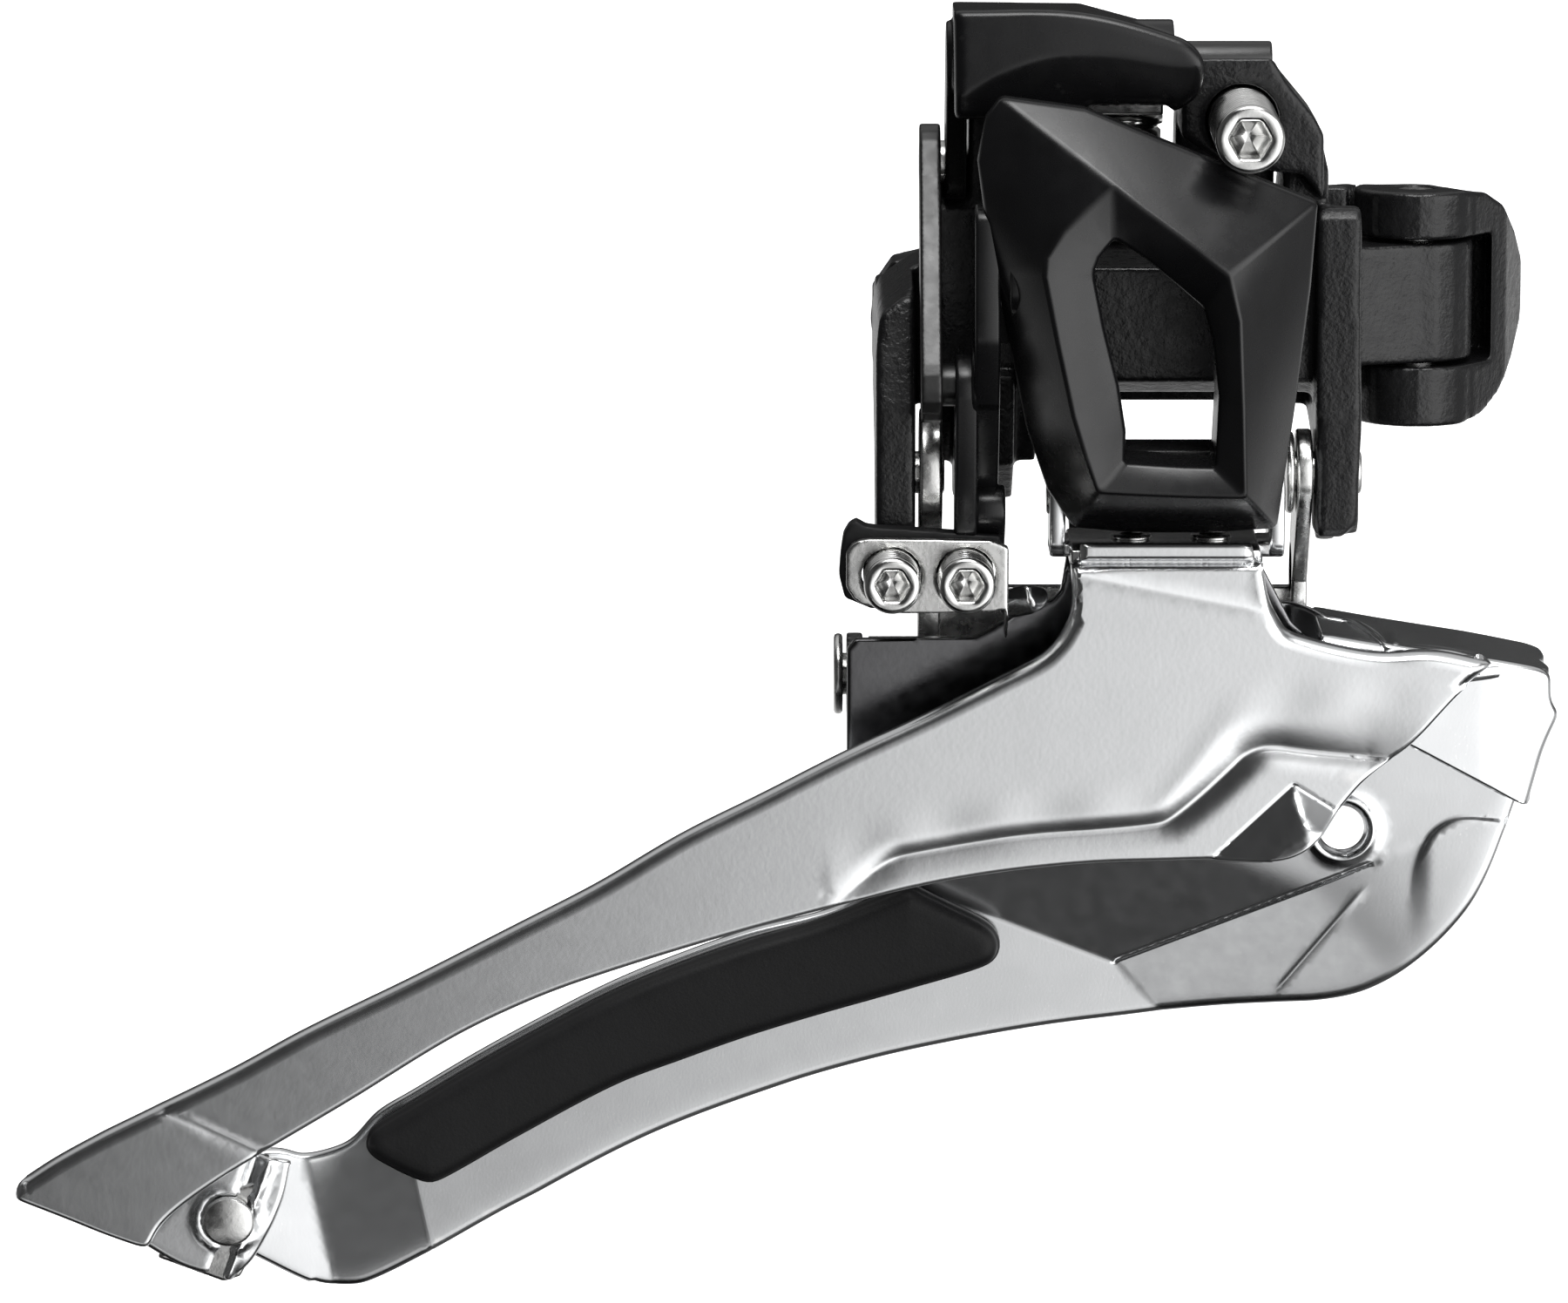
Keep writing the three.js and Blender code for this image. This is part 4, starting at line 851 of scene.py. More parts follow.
# ---------------------------------------------------------------- skid pad
PAD = [(-61.7, -57.4), (-61.0, -56.8), (-58.4, -55.2), (-53.6, -52.3), (-48.8, -49.6), (-44.0, -47.1), (-39.2, -45.1), (-34.4, -43.4), (-29.5, -41.9), (-25.7, -40.4), (-23.0, -39.2), (-21.5, -40.0), (-20.1, -40.7), (-17.4, -42.1), (-16.7, -43.0), (-16.7, -44.1), (-17.4, -44.9), (-22.8, -46.6), (-29.7, -48.6), (-34.5, -50.1), (-39.2, -51.8), (-44.1, -53.7), (-51.3, -57.6), (-56.5, -60.6), (-57.6, -60.9), (-61.3, -59.1), (-61.9, -58.4)]
pad_plane = mesh_plane(resample(PAD, 0.4, 50, 2), 0.6, rings=(0.08, 0.2, 0.38, 0.6, 0.9, 1.4, 2.2))


def pad_part():
    V, F, D, B, border, ed = pad_plane
    front = -37.1 + roll(D, 0.9) * 0.95 + 0.25 * np.exp(-D / 1.6)
    back = np.full(len(V), -34.85)
    return skin(pad_plane, np.stack([V[:, 0], front, V[:, 1]], 1), np.stack([V[:, 0], back, V[:, 1]], 1), 5, 0.15)


new_object("skid_pad_moulding", *pad_part(), M_RESIN, "cage", "resin", ["chain_skid_pad"])


# ---------------------------------------------------------------- turned pieces
def frame_of(axis):
    return {"x": (Vector((1, 0, 0)), Vector((0, 1, 0)), Vector((0, 0, 1))),
            "y": (Vector((0, 1, 0)), Vector((0, 0, 1)), Vector((1, 0, 0))),
            "z": (Vector((0, 0, 1)), Vector((1, 0, 0)), Vector((0, 1, 0)))}[axis]


def rings_to_mesh(rings, centre, axis, n):
    """rings: list of (position along the axis, radius or function of the angle). Ends close on the axis."""
    w, u, v = frame_of(axis)
    c = Vector(centre)
    V, F, rows = [], [], []
    for a, r in rings:
        if not callable(r) and r <= 0:
            rows.append([len(V)])
            V.append(tuple(c + w * a))
            continue
        row = []
        for i in range(n):
            t = 2 * math.pi * i / n
            rr = r(t) if callable(r) else r
            row.append(len(V))
            V.append(tuple(c + w * a + (u * math.cos(t) + v * math.sin(t)) * rr))
        rows.append(row)
    for p, q in zip(rows, rows[1:]):
        for i in range(n):
            j = (i + 1) % n
            if len(p) == 1 and len(q) == 1:
                continue
            if len(p) == 1:
                F.append((p[0], q[i], q[j]))
            elif len(q) == 1:
                F.append((p[i], q[0], p[j]))
            else:
                F.append((p[i], q[i], q[j], p[j]))
    bm = bmesh.new()
    vs = [bm.verts.new(x) for x in V]
    for f in F:
        bm.faces.new([vs[k] for k in f])
    bmesh.ops.recalc_face_normals(bm, faces=bm.faces[:])
    bm.verts.index_update()
    F = [tuple(x.index for x in f.verts) for f in bm.faces]
    V = [tuple(x.co) for x in bm.verts]
    bm.free()
    return V, F


# ---------------------------------------------------------------- remeshed castings
def loose(name, V, F):
    me = bpy.data.meshes.new(name)
    me.from_pydata([tuple(v) for v in V], [], F)
    me.update()
    bm = bmesh.new()
    bm.from_mesh(me)
    bmesh.ops.remove_doubles(bm, verts=bm.verts[:], dist=1e-4)
    bmesh.ops.recalc_face_normals(bm, faces=bm.faces[:])
    bm.to_mesh(me)
    bm.free()
    o = bpy.data.objects.new(name, me)
    bpy.context.scene.collection.objects.link(o)
    return o


def carve(V, F, cutters):
    o = loose("carved", V, F)
    tools = []
    for v, f in cutters:
        c = loose("cutter", v, f)
        tools.append(c)
        m = o.modifiers.new("cut", "BOOLEAN")
        m.operation = "DIFFERENCE"
        m.solver = "EXACT"
        m.object = c
    dg = bpy.context.evaluated_depsgraph_get()
    out = bpy.data.meshes.new_from_object(o.evaluated_get(dg))
    V = [tuple(v.co) for v in out.vertices]
    F = [tuple(p.vertices) for p in out.polygons]
    for x in [o] + tools:
        me = x.data
        bpy.data.objects.remove(x)
        bpy.data.meshes.remove(me)
    bpy.data.meshes.remove(out)
    return V, F


def prism_y(xz, y0, y1, r=0.0):
    return prism([(x, y0, z) for x, z in xz], (0, y1 - y0, 0), r)


def cyl(axis, centre, a0, a1, r, n=48):
    return rings_to_mesh([(a0, 0), (a0, r), (a1, r), (a1, 0)], centre, axis, n)


def refined(name, nodes, voxel, rounds, mat, body, keep_volume=0.0, edit=None, replaces=None, cut=(), add=()):
    """Close, rounded copy of one or more CAD solids: voxel mesh, then eased by neighbour averaging."""
    V, F = [], []
    for node in nodes:
        me = NODES[node].data
        k = len(V)
        V += [tuple(v.co * 1000.0) for v in me.vertices]
        F += [tuple(i + k for i in p.vertices) for p in me.polygons]
    if cut:
        V, F = carve(V, F, cut)
    for v, f in add:
        k = len(V)
        V = list(V) + [tuple(c) for c in v]
        F = list(F) + [tuple(i + k for i in q) for q in f]
    if edit:
        V, F = edit(V, F)
    me = bpy.data.meshes.new("raw")
    me.from_pydata(V, [], F)
    me.update()
    bm = bmesh.new()
    bm.from_mesh(me)
    bmesh.ops.remove_doubles(bm, verts=bm.verts[:], dist=1e-4)
    bm.to_mesh(me)
    bm.free()
    o = bpy.data.objects.new("raw", me)
    bpy.context.scene.collection.objects.link(o)
    m = o.modifiers.new("remesh", "REMESH")
    m.mode = "VOXEL"
    m.voxel_size = voxel
    m.adaptivity = 0.0
    dg = bpy.context.evaluated_depsgraph_get()
    ev = o.evaluated_get(dg)
    out = bpy.data.meshes.new_from_object(ev)
    n = len(out.vertices)
    co = np.empty(n * 3, np.float64)
    out.vertices.foreach_get("co", co)
    co = co.reshape(-1, 3)
    ne = len(out.edges)
    ed = np.empty(ne * 2, np.int64)
    out.edges.foreach_get("vertices", ed)
    ed = ed.reshape(-1, 2)
    deg = np.bincount(ed.ravel(), minlength=n).astype(float)[:, None]

    def lap(c):
        s = np.zeros_like(c)
        for k in range(3):
            s[:, k] = np.bincount(ed[:, 0], c[ed[:, 1], k], n) + np.bincount(ed[:, 1], c[ed[:, 0], k], n)
        return s / np.maximum(deg, 1) - c
    for _ in range(rounds):
        co = co + 0.5 * lap(co)
        if keep_volume:
            co = co - keep_volume * lap(co)
    co[:, 2] = np.where(co[:, 2] > 20, 20 + (co[:, 2] - 20) * 0.96, co[:, 2])
    out.vertices.foreach_set("co", (co * MM).ravel())
    out.update()
    out.polygons.foreach_set("use_smooth", [True] * len(out.polygons))
    out.materials.clear()
    out.materials.append(mat)
    bpy.data.objects.remove(o)
    bpy.data.meshes.remove(me)
    out.name = name
    p = bpy.data.objects.new(name, out)
    bpy.context.scene.collection.objects.link(p)
    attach(p, body)
    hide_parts(*(replaces or nodes))
    return p


FINE = 0.2


def taper_band(V, F):
    """The band is lower on the far side of the tube than beside the hinge."""
    out = []
    for x, y, z in V:
        top = np.interp(y, [-14, 0, 19], [8.55, 6.2, 2.9])
        bot = np.interp(y, [-14, 0, 19], [8.55, 7.6, 6.0])
        if abs(x) < 17.5 or x > 0:
            z = z * top / 8.55 if z > 0 else z * bot / 8.55
        out.append((x, y, z))
    return out, F


base_cut = [
    prism_y([(-28, 22), (-28, -0.8), (-25.5, -0.8), (-25.3, 1.5), (-25.0, 2.2), (-24.1, 2.9), (-22.9, 3.7), (-22.0, 4.1), (-21.6, 9), (-21.6, 22)], -42, 25),
    prism_x([(-40, 9.7), (-36.6, 9.7), (-35.4, 9.4), (-16, 5.8), (-16, 16), (-40, 16)], 6.42, 12),
    prism_x([(-41, -13.6), (-36, -13.6), (-33, -14.9), (-33, -20), (-41, -20)], 5.2, 12),
    prism_y([(8.75, 14), (8.75, -6), (8.55, -10.0), (8.3, -12.6), (7.2, -14.0), (7.2, -18), (14, -18), (14, 14)], -42, -24),
    prism_x([(-42, 21.1), (-38.9, 20.5), (-29, 18.3), (-29, 26), (-42, 26)], -4.7, 6.6),
    # grooves across the front wall
    prism_x([(-40, 3.05), (-38.05, 2.9), (-38.05, 2.3), (-40, 2.15)], 5.0, 12),
    prism_x([(-40, 1.1), (-38.3, 1.0), (-38.3, 0.55), (-40, 0.45)], 5.0, 12),
]
base_add = [
    # full-height front face of the right wall
    prism_x([(-38.7, 9.0), (-38.9, -5.0), (-38.7, -12.6), (-37.6, -13.5), (-34.5, -13.5), (-33.5, -3.0), (-33.5, 9.4), (-37.9, 9.8)], 5.5, 8.6),
    prism_x([(-33.0, 8.0), (-33.0, 16.2), (-30.5, 17.6), (-27.0, 16.0), (-24.0, 12.0), (-24.0, 6.0)], -18.9, -14.4),
    prism_x([(-31.5, 9.0), (-31.5, 18.0), (-28.5, 18.0), (-26.0, 14.0), (-26.0, 6.0)], -4.2, 2.8),
    # body behind the toggle link
    prism_x([(-33.4, 3.0), (-33.4, 9.0), (-30.0, 12.5), (-26.0, 12.5), (-22.0, 8.0), (-22.0, -6.0), (-30.0, -9.5), (-33.2, -3.5)], -21.2, -14.0),
    prism_x([(-35.2, -2.6), (-33.0, -9.2), (-27.5, -12.6), (-25.5, -11.0), (-25.5, -2.0)], -19.9, -15.6),
]
refined("base_casting", ["base_bracket"], FINE, 8, M_CAST, "base", cut=base_cut, add=base_add)
refined("clamp_band_casting", ["clamp_band"], FINE, 5, M_CAST, "clamp", edit=taper_band)

# outer link: shell with flat faces round the window, its edges eased
L_OUT = [(-16.95, -46.4, 18.53), (-11.17, -46.5, 17.76), (-6.04, -46.6, 15.65), (-0.3, -46.7, 13.36), (5.03, -46.8, 11.24), (4.62, -46.6, 5.32), (3.7, -46.0, -2.71), (2.57, -43.8, -12.1), (-2.05, -43.6, -12.44), (-7.54, -43.6, -12.44), (-11.7, -43.8, -12.04), (-13.58, -45.0, -9.13), (-15.08, -45.8, -4.64), (-16.21, -46.2, 0.93), (-17.32, -46.3, 6.37), (-18.06, -46.3, 10.15), (-18.56, -46.3, 14.1), (-17.97, -46.3, 17.13)]
L_CREST = [(-9.28, -50.2, 12.76), (-7.32, -50.8, 11.33), (-5.29, -51.3, 9.88), (-3.32, -51.8, 8.44), (-1.35, -52.1, 6.92), (-0.54, -52.1, 3.66), (-0.24, -52.0, -2.43), (0.03, -51.4, -8.73), (-3.46, -51.3, -8.69), (-6.96, -51.3, -8.56), (-10.28, -51.4, -8.37), (-11.14, -51.6, -5.84), (-12.0, -51.8, -3.01), (-13.11, -51.8, 2.09), (-14.02, -51.4, 6.69), (-13.91, -51.2, 7.99), (-12.65, -50.9, 9.77), (-10.96, -50.5, 11.29)]
L_WIN = [(-9.17, 9.13), (-7.96, 8.4), (-6.75, 7.55), (-4.69, 5.84), (-2.99, 4.38), (-2.37, 2.13), (-1.91, -1.84), (-2.11, -6.73), (-4.23, -6.67), (-6.29, -6.55), (-8.35, -6.42), (-8.3, -4.22), (-8.81, -1.04), (-9.86, 3.11), (-10.54, 6.51), (-10.49, 7.06), (-10.19, 7.85), (-9.71, 8.46)]


def link_shell():
    N = len(L_OUT)
    back = lambda z: -44.8 if z > 4 else -42.6 - 2.2 * max(0, (z + 11) / 15)
    R = [[(x, max(back(z), -44.8), z) for x, y, z in L_OUT], L_OUT, L_CREST,
         [(x, -50.25, z) for x, z in L_WIN], [(x, back(z), z) for x, z in L_WIN]]
    R[0] = [(x, max(y, o[1] + 0.8), z) for (x, y, z), o in zip(R[0], L_OUT)]
    bm = bmesh.new()
    vs = [[bm.verts.new(p) for p in r] for r in R]
    for k in range(len(R)):
        for i in range(N):
            j = (i + 1) % N
            bm.faces.new((vs[k][i], vs[(k + 1) % len(R)][i], vs[(k + 1) % len(R)][j], vs[k][j]))
    bmesh.ops.recalc_face_normals(bm, faces=bm.faces[:])
    ridge = []
    for k in (1, 2, 3):
        for i in range(N):
            e = bm.edges.get((vs[k][i], vs[k][(i + 1) % N]))
            if e:
                ridge.append(e)
    for i in (0, 4, 7, 10):
        for k in (0, 1, 2, 3):
            e = bm.edges.get((vs[k][i], vs[(k + 1) % len(R)][i]))
            if e:
                ridge.append(e)
    e = bm.edges.get((vs[2][14], vs[3][14]))
    if e:
        ridge.append(e)
    bmesh.ops.bevel(bm, geom=ridge, offset=0.32, segments=4, profile=0.5, affect="EDGES", clamp_overlap=True)
    bmesh.ops.triangulate(bm, faces=[f for f in bm.faces if len(f.verts) > 4])
    bm.verts.index_update()
    V = [tuple(v.co) for v in bm.verts]
    F = [tuple(v.index for v in f.verts) for f in bm.faces]
    bm.free()
    return V, F


r2 = lambda discs, n=32: hull2(discs, n)
link_rest = [
    cyl("x", (0, *P3), -11.9, 1.8, 2.5),
    prism_x([(-43.6, -10.2), (-44.4, -6.5), (-42.0, -6.0), (-37.7, -9.2), (-40, -12.6), (-42.2, -12.0)], -11.9, 1.8, 0.2),
    prism_x(r2([(P1[0], P1[1], 2.35), (-45.6, 8.5, 1.0)]), -16.3, -14.95, 0.2),
    prism_x(r2([(P1[0], P1[1], 2.35), (-45.6, 8.5, 1.0)]), 1.4, 2.8, 0.2),
    prism_x(r2([(-45.4, 9.5, 1.2), (-44.6, 2.0, 2.2), (P7[0], P7[1], 2.7)]), -18.7, -16.9, 0.25),
    prism_x(r2([(P7[0], P7[1], 2.7), (-39.0, -9.4, 1.9)]), -18.9, -16.9, 0.25),
    prism_x(r2([(-39.0, -9.1, 1.9), (-34.6, -14.7, 1.3)]), -18.9, -16.9, 0.25),
    prism_x([(-46.0, 4.0), (-46.0, 10.5), (-44.9, 11.0), (-43.6, 9.5), (-43.2, 3.0), (-44.6, 1.0)], -18.7, -15.9, 0.2),
    prism_x(r2([(-42.6, -2.4, 2.4), (-40.6, -12.2, 1.7)]), -20.0, -18.4, 0.25),
    prism_x(r2([(-40.6, -11.2, 1.7), (-38.6, -13.4, 1.2)]), -18.5, -16.4, 0.25),
]


def flat_shaded(name, part_list, mat, body, slot, nodes, angle=30):
    o = new_object(name, *join(*part_list), mat, body, slot, nodes)
    o.data.set_sharp_from_angle(angle=math.radians(angle))
    return o


flat_shaded("outer_link_casting", [link_shell()] + link_rest, M_SATIN, "outer_link", "satin_black", ["outer_link"], 34)


# cable arm: shaped face, roof, two hubs, cheek and wing, run together
ARM_FACE = [(-20.1, 24.05), (-11.3, 23.95), (-4.2, 22.0), (-3.0, 21.0), (-2.5, 19.8), (-3.1, 17.9), (-4.7, 16.7), (-5.1, 17.3), (-10.6, 17.3), (-11.4, 16.5), (-17.9, 16.3), (-20.0, 16.3)]
ARC = [(-20.5, 17.8), (-19.0, 18.4), (-16.0, 20.0), (-13.0, 20.95), (-9.0, 20.95), (-5.0, 20.3), (-2.0, 20.2)]
arm_arc = [tuple(p) for p in resample(ARC, 0.3, 60, 2, closed=False)]
arm_plane = mesh_plane(resample(ARM_FACE, 0.4, 40, 1), 0.5, lines=[arm_arc], rings=(0.1, 0.3, 0.6, 1.0))


def arm_face():
    V, F, D, B, border, ed = arm_plane
    ds, side, _ = seg_dist(V, arm_arc, False)
    s = ds * np.where(side > 0, 1, -1)
    y = -41.2 + 0.10 * np.clip(s, 0, None) + 0.30 * np.clip(-s, 0, None) + 0.6 * roll(D, 0.7)
    return skin(arm_plane, np.stack([V[:, 0], y, V[:, 1]], 1), np.stack([V[:, 0], np.full(len(V), -39.2), V[:, 1]], 1), 3, 0.05)


arm_parts = [
    arm_face(),
    prism_y([(-20.1, 22.7), (-20.1, 24.05), (-11.2, 23.95), (-5.0, 22.2), (-5.0, 21.4), (-10.8, 22.7)], -40.0, -33.5),
    prism_x(r2([(P5[0], P5[1], 3.2), (-38.4, 19.8, 1.4), (-38.4, 22.0, 1.4)]), -20.1, -17.1),
    prism_x(r2([(P5[0], P5[1], 3.1), (-38.6, 19.0, 1.2), (-38.6, 20.6, 1.2)]), -10.9, -4.6),
    prism_x(r2([(P5[0], P5[1], 3.0), (P6[0], P6[1], 2.8)]), -20.6, -19.1),
    prism_x([(-37.5, 18.0), (-34.5, 22.4), (-31.5, 20.4), (-21.8, 19.0), (-21.8, 17.0), (-33.0, 17.0)], -10.9, -4.6),
]
refined("cable_arm_casting", [], FINE * 0.75, 5, M_SATIN, "cable_arm", replaces=["cable_arm"], add=arm_parts)

# inner link: rear arm with a round boss at the base pivot
flat_shaded("inner_link_sheet", [
    prism_x(r2([(P2[0], P2[1], 4.6), (-30.8, -17.0, 2.0)]), -22.4, -20.8, 0.25),
    prism_x(r2([(-30.8, -17.0, 2.0), (P4[0], P4[1], 2.7)]), -22.4, -20.8, 0.2),
    prism_x(r2([(P2[0], P2[1], 3.1), (-30.8, -17.0, 2.0)]), 4.25, 5.35, 0.2),
    prism_x(r2([(-30.8, -17.0, 2.0), (P4[0], P4[1], 2.7)]), 4.25, 5.35, 0.2),
    cyl("x", (0, *P4), -25.9, 5.8, 2.7),
    rounded_box(-21.5, 4.8, -30.4, -29.0, -24.0, -18.5, 0.2),
], M_STEEL, "inner_link", "steel", ["inner_link"], 34)
# the link bracket takes the chrome darkened with painted shade
refined("link_bracket_sheet", ["link_bracket"], FINE * 0.75, 3, M_SHADED_CHROME, "cage")
refined("toggle_link_sheet", ["toggle_link"], FINE * 0.6, 3, M_BLACKSTEEL, "toggle_link")
refined("limit_screw_plate_sheet", ["limit_screw_plate"], FINE * 0.6, 3, M_STEEL, "cage",
        cut=[prism_x([(-60, -30), (-30, -30), (-30, 0), (-60, 0)], -16.2, -8)])
refined("limit_screw_insert_moulding", ["limit_screw_insert"], FINE * 0.75, 4, M_RESIN, "cage")
refined("cable_clamp_plate_sheet", ["cable_clamp_plate"], FINE * 0.6, 3, M_BOLT, "cable_arm")
refined("cage_tail_spacer_block", ["cage_tail_spacer"], FINE * 0.75, 3, M_STEEL, "cage")


def hexr(af, round_=0.04):
    a = af / 2

    def f(t):
        k = ((t + math.pi / 6) % (math.pi / 3)) - math.pi / 6
        return min(a / math.cos(k), a / math.cos(math.pi / 6) - round_)
    return f


def screw(centre, axis, y0, y1, r, key, depth, pitch, thread=True, head=None, n=72):
    """Socket screw: its socket end at y0. head: (radius, length) or None."""
    rings = [(y0 + depth + 0.55, 0), (y0 + depth, hexr(key)), (y0 + 0.32, hexr(key)), (y0 + 0.06, hexr(key + 0.30, 0.1)), (y0 + 0.0, lambda t: hexr(key)(t) + 0.34)]
    R = head[0] if head else r
    b = 0.42 if not head else 0.5
    for k in range(6):
        t = k / 5 * math.pi / 2
        rings.append((y0 + b * (1 - math.cos(t)), R - b + b * math.sin(t)))
    a = y0 + b + 0.1
    if head:
        rings += [(y0 + head[1] - 0.2, R), (y0 + head[1], R - 0.2), (y0 + head[1], r + 0.02)]
        a = y0 + head[1] + 0.15
    if thread:
        h = 0.30 * pitch
        s = a + 0.25
        k = 0
        while s < y1 - 0.5:
            fade = min(1.0, (s - a) / 0.5, (y1 - 0.35 - s) / 0.5)
            off = s / pitch

            def rad(t, off=off, fade=fade):
                q = (off - t / (2 * math.pi)) % 1.0
                tri = 1 - abs(2 * q - 1)
                return r - h * max(0.0, fade) * min(1, max(0, tri * 1.5 - 0.25))
            rings.append((s, rad))
            s += pitch / 9
    rings += [(y1 - 0.4, r), (y1, r - 0.4), (y1, 0)]
    return rings_to_mesh(rings, centre, axis, n)


new_object("low_limit_screw_turned", *screw((-24.4, 0, -15.6), "y", -47.5, -40.0, 2.0, 2.0, 1.9, 0.7), M_BOLT, "low_limit_screw", "bolt_steel", ["low_limit_screw"])
new_object("high_limit_screw_turned", *screw((-19.2, 0, -15.6), "y", -47.5, -40.0, 2.0, 2.0, 1.9, 0.7), M_BOLT, "high_limit_screw", "bolt_steel", ["high_limit_screw"])
new_object("cable_adjusting_bolt_turned", *screw((0.15, 0, 16.0), "y", -50.0, -28.8, 2.4, 2.5, 2.3, 0.8), M_BOLT, "cable_adjusting_bolt", "bolt_steel", ["cable_adjusting_bolt"])


def pin(name, node, centre, axis, a0, a1, r, body, head=None, mat=None, slot="steel"):
    """Plain pin with rounded ends. head: list of (a0, a1, radius) discs on it."""
    e = 0.18
    parts = [rings_to_mesh([(a0, 0), (a0, r - e), (a0 + e * 0.3, r - e * 0.3), (a0 + e, r), (a1 - e, r), (a1 - e * 0.3, r - e * 0.3), (a1, r - e), (a1, 0)], centre, axis, 48)]
    for h0, h1, hr in head or []:
        f = min(0.25, (h1 - h0) * 0.4)
        parts.append(rings_to_mesh([(h0, 0), (h0, hr - f), (h0 + f * 0.3, hr - f * 0.3), (h0 + f, hr), (h1 - f, hr), (h1 - f * 0.3, hr - f * 0.3), (h1, hr - f), (h1, 0)], centre, axis, 64))
    new_object(name, *join(*parts), mat or M_STEEL, body, slot, [node])


pin("outer_link_rear_pin", "outer_link_pin_rear", (0, *P1), "x", -16.2, -11.7, 1.5, "base")
pin("outer_link_front_pin", "outer_link_pin_front", (0, *P1), "x", -1.5, 2.7, 1.5, "base")
pin("inner_link_rear_pin", "inner_link_pin_rear", (0, *P2), "x", -25.4, -20.6, 1.5, "base")
pin("inner_link_front_pin", "inner_link_pin_front", (0, *P2), "x", 3.7, 8.9, 1.5, "base", [(3.55, 4.1, 2.9)])
pin("cable_arm_pivot_pin", "cable_arm_pin", (0, *P5), "x", -20.3, 2.3, 1.5, "base", mat=M_BLACKSTEEL, slot="black_steel")
pin("toggle_upper_pin", "toggle_pin_upper", (0, *P6), "x", -22.3, -19.2, 1.5, "cable_arm")
pin("toggle_lower_pin", "toggle_pin_lower", (0, *P7), "x", -22.3, -17.0, 1.5, "outer_link", mat=M_BLACKSTEEL)
pin("cage_outer_pin", "cage_pin_outer", (0, *P3), "x", -13.5, 3.3, 1.5, "cage")
pin("cage_inner_pin", "cage_pin_inner", (0, *P4), "x", -28.2, 7.6, 1.5, "cage", [(-28.4, -27.75, 2.9)])
pin("clamp_hinge_upright_pin", "clamp_hinge_pin", (14.0, -15.5, 0), "z", -8.3, 8.3, 1.5, "base")
pin("bracket_rear_rivet", "bracket_rivet_rear", (-7.5, -40.4, 0), "z", -16.9, -13.0, 1.0, "cage", [(-16.9, -16.2, 1.5), (-13.4, -13.0, 1.45)])
pin("bracket_front_rivet", "bracket_rivet_front", (-1.9, -40.4, 0), "z", -16.9, -13.0, 1.0, "cage", [(-16.9, -16.2, 1.5), (-13.4, -13.0, 1.45)])
pin("cage_rivet_at_tail", "cage_tail_rivet", (-71.4, 0, -61.9), "y", -44.2, -33.0, 1.0, "cage", [(-44.5, -43.8, 1.85)])


def hexsocket_bolt(z0, zh, z1, r, R, key):
    rings = [(z0 + 1.5, 0), (z0 + 1.4, hexr(key)), (z0 + 0.2, hexr(key)), (z0, lambda t: hexr(key)(t) + 0.25), (z0, R - 0.35), (z0 + 0.12, R - 0.12), (z0 + 0.4, R),
             (zh - 1.15, R), (zh - 0.95, R - 0.22), (zh - 0.75, R - 0.22), (zh - 0.6, R + 0.15), (zh - 0.15, R + 0.15), (zh, R), (zh, r), (z1 - 0.3, r), (z1, r - 0.3), (z1, 0)]
    return rings_to_mesh(rings, (-7.7, -26.2, 0), "z", 72)


new_object("cable_fixing_bolt_turned", *hexsocket_bolt(12.0, 15.1, 18.6, 2.0, 2.65, 2.5), M_BOLT, "cable_fixing_bolt", "bolt_steel", ["cable_fixing_bolt"])

# clamp bolt with its socket on the inboard side, and the washer under its head
cb = [(-10.6, 0), (-10.6, 2.1), (-10.3, 2.4)]
for k in range(15):
    a = -10.0 + k * 0.7
    cb += [(a, 2.45), (a + 0.2, 2.45), (a + 0.35, 2.2), (a + 0.5, 2.2)]
cb += [(0.8, 2.5), (1.0, 2.5), (1.0, 3.6), (1.12, 3.85), (1.4, 4.0), (5.3, 4.0), (5.7, 3.85), (5.95, 3.6), (6.0, 3.3), (6.0, lambda t: hexr(4)(t) + 0.3), (5.75, hexr(4)), (3.5, hexr(4)), (3.2, 0)]
new_object("clamp_bolt_turned", *rings_to_mesh(cb, (-21.4, 0, -3.3), "y", 84), M_BOLT, "clamp_bolt", "bolt_steel", ["clamp_bolt"])


def ring_piece(prof, centre, axis, n=96):
    """Closed ring: prof is a list of (position along the axis, radius) going round its section."""
    w, u, v = frame_of(axis)
    c = Vector(centre)
    V = [tuple(c + w * a + (u * math.cos(2 * math.pi * i / n) + v * math.sin(2 * math.pi * i / n)) * r) for i in range(n) for a, r in prof]
    m = len(prof)
    F = [(i * m + j, i * m + (j + 1) % m, ((i + 1) % n) * m + (j + 1) % m, ((i + 1) % n) * m + j) for i in range(n) for j in range(m)]
    return V, F


new_object("clamp_bolt_washer_turned", *ring_piece([(-0.15, 2.75), (-0.15, 4.0), (-0.05, 4.1), (0.65, 4.1), (0.75, 4.0), (0.75, 2.85), (0.65, 2.75)], (-21.4, 0, -3.3), "y"), M_STEEL, "clamp", "steel", ["clamp_bolt_washer"])


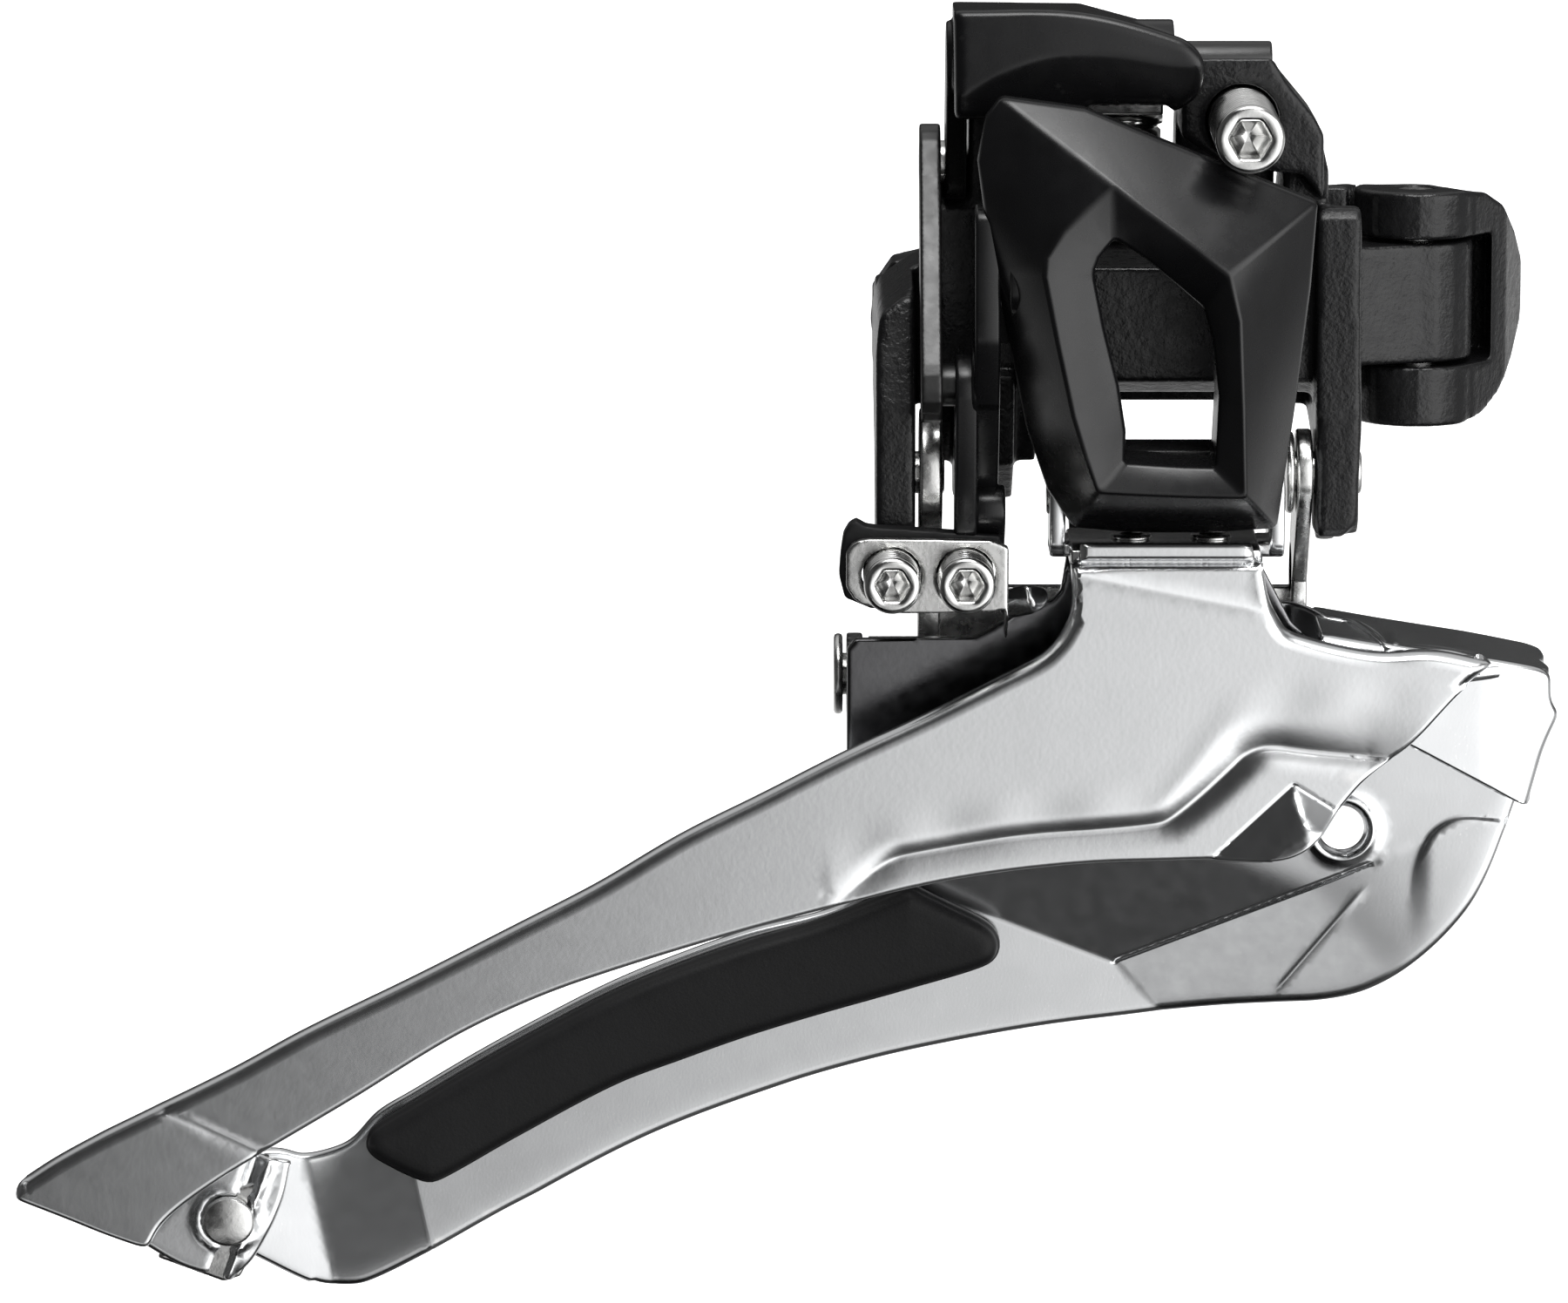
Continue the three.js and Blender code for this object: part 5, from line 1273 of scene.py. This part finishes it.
def coil():
    """Round wire wound round the cable-arm pin, one leg against the body, the other under the arm."""
    turns, r, wire, x0, x1, lead = 2.25, 2.25, 0.42, -13.85, -11.45, 0.13
    a0, a1 = math.pi * 0.5, math.pi * 0.5 + 2.25 * 2 * math.pi
    P = []
    for i in range(241):
        t = i / 240
        if t < lead:
            q = 1 - t / lead
            P.append((x0, P5[0] + r * math.cos(a0) + q * 4.0, P5[1] + r * math.sin(a0)))
        elif t > 1 - lead:
            q = (t - 1 + lead) / lead
            P.append((x1, P5[0] + r * math.cos(a1), P5[1] + r * math.sin(a1) - q * 1.5))
        else:
            u = (t - lead) / (1 - 2 * lead)
            a = a0 + (a1 - a0) * u
            P.append((x0 + (x1 - x0) * u, P5[0] + r * math.cos(a), P5[1] + r * math.sin(a)))
    P = [Vector(p) for p in P]
    V, F, n = [tuple(P[0])], [], 14
    side = Vector((1, 0, 0))
    for i, p in enumerate(P):
        d = (P[min(i + 1, 240)] - P[max(i - 1, 0)]).normalized()
        side = (side - d * side.dot(d)).normalized()
        other = d.cross(side)
        k = wire * (0.75 if i in (0, 240) else 1.0)
        for j in range(n):
            t = 2 * math.pi * j / n
            V.append(tuple(p + (side * math.cos(t) + other * math.sin(t)) * k))
    V.append(tuple(P[-1]))
    for i in range(240):
        for j in range(n):
            a, b = 1 + i * n + j, 1 + i * n + (j + 1) % n
            F.append((a, b, b + n, a + n))
    for j in range(n):
        F.append((0, 1 + (j + 1) % n, 1 + j))
        F.append((len(V) - 1, 1 + 240 * n + j, 1 + 240 * n + (j + 1) % n))
    return V, F


spring = new_object("return_spring_coil", *coil(), M_STEEL, None, "steel", ["return_spring"])
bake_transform(spring)

SHOULDER = [(-16.8, -17.7), (-16.0, -17.1), (-15.0, -16.8), (-14.0, -16.8), (-13.4, -17.2), (-13.6, -18.0), (-15.2, -18.8), (-16.6, -19.0)]
sh_plane = mesh_plane(resample(SHOULDER, 0.3, 60, 2), 0.4, rings=(0.1, 0.25, 0.5), lines=[along_line((-15.4, -17.2), (-14.8, -18.4))])
new_object("bracket_shoulder_sheet", *sheet(sh_plane, lambda x, z, d: -40.9 + 0.7 * np.abs(left_of(x, z, (-15.6, -14.2), (-14.4, -18.0))) + 0.25 * np.sin(z * 2.2), 0.9), M_CHROME, "cage", "satin_chrome")

# tail clip: small pressed tab with a raised rim beside the rivet
CLIP = [(-77.8, -63.6), (-75.2, -60.6), (-72.6, -58.2), (-70.2, -57.2), (-66.9, -57.6), (-67.6, -60.6), (-69.6, -64.8), (-71.2, -66.6), (-74.6, -65.6)]
clip_plane = mesh_plane(resample(CLIP, 0.3, 60, 1), 0.35, rings=(0.1, 0.25, 0.5), holes=[circle(-71.6, -61.5, 1.0, 30)], lines=[along_line((-69.3, -59.4), (-71.4, -65.6))])


def clip_mid(x, z, d):
    a = left_of(x, z, (-69.3, -59.4), (-71.4, -65.6))
    r = np.hypot(x + 71.4, z + 61.9)
    return -43.45 - 0.45 * np.exp(-((a - 0.2) / 0.35) ** 2) + 0.5 * np.exp(-((a + 0.75) / 0.35) ** 2) - 0.25 * np.exp(-((r - 2.2) / 0.3) ** 2) + 0.5 * roll(d, 0.4)


new_object("tail_clip_sheet", *sheet(clip_plane, clip_mid, 0.45), M_CHROME, "cage", "satin_chrome")
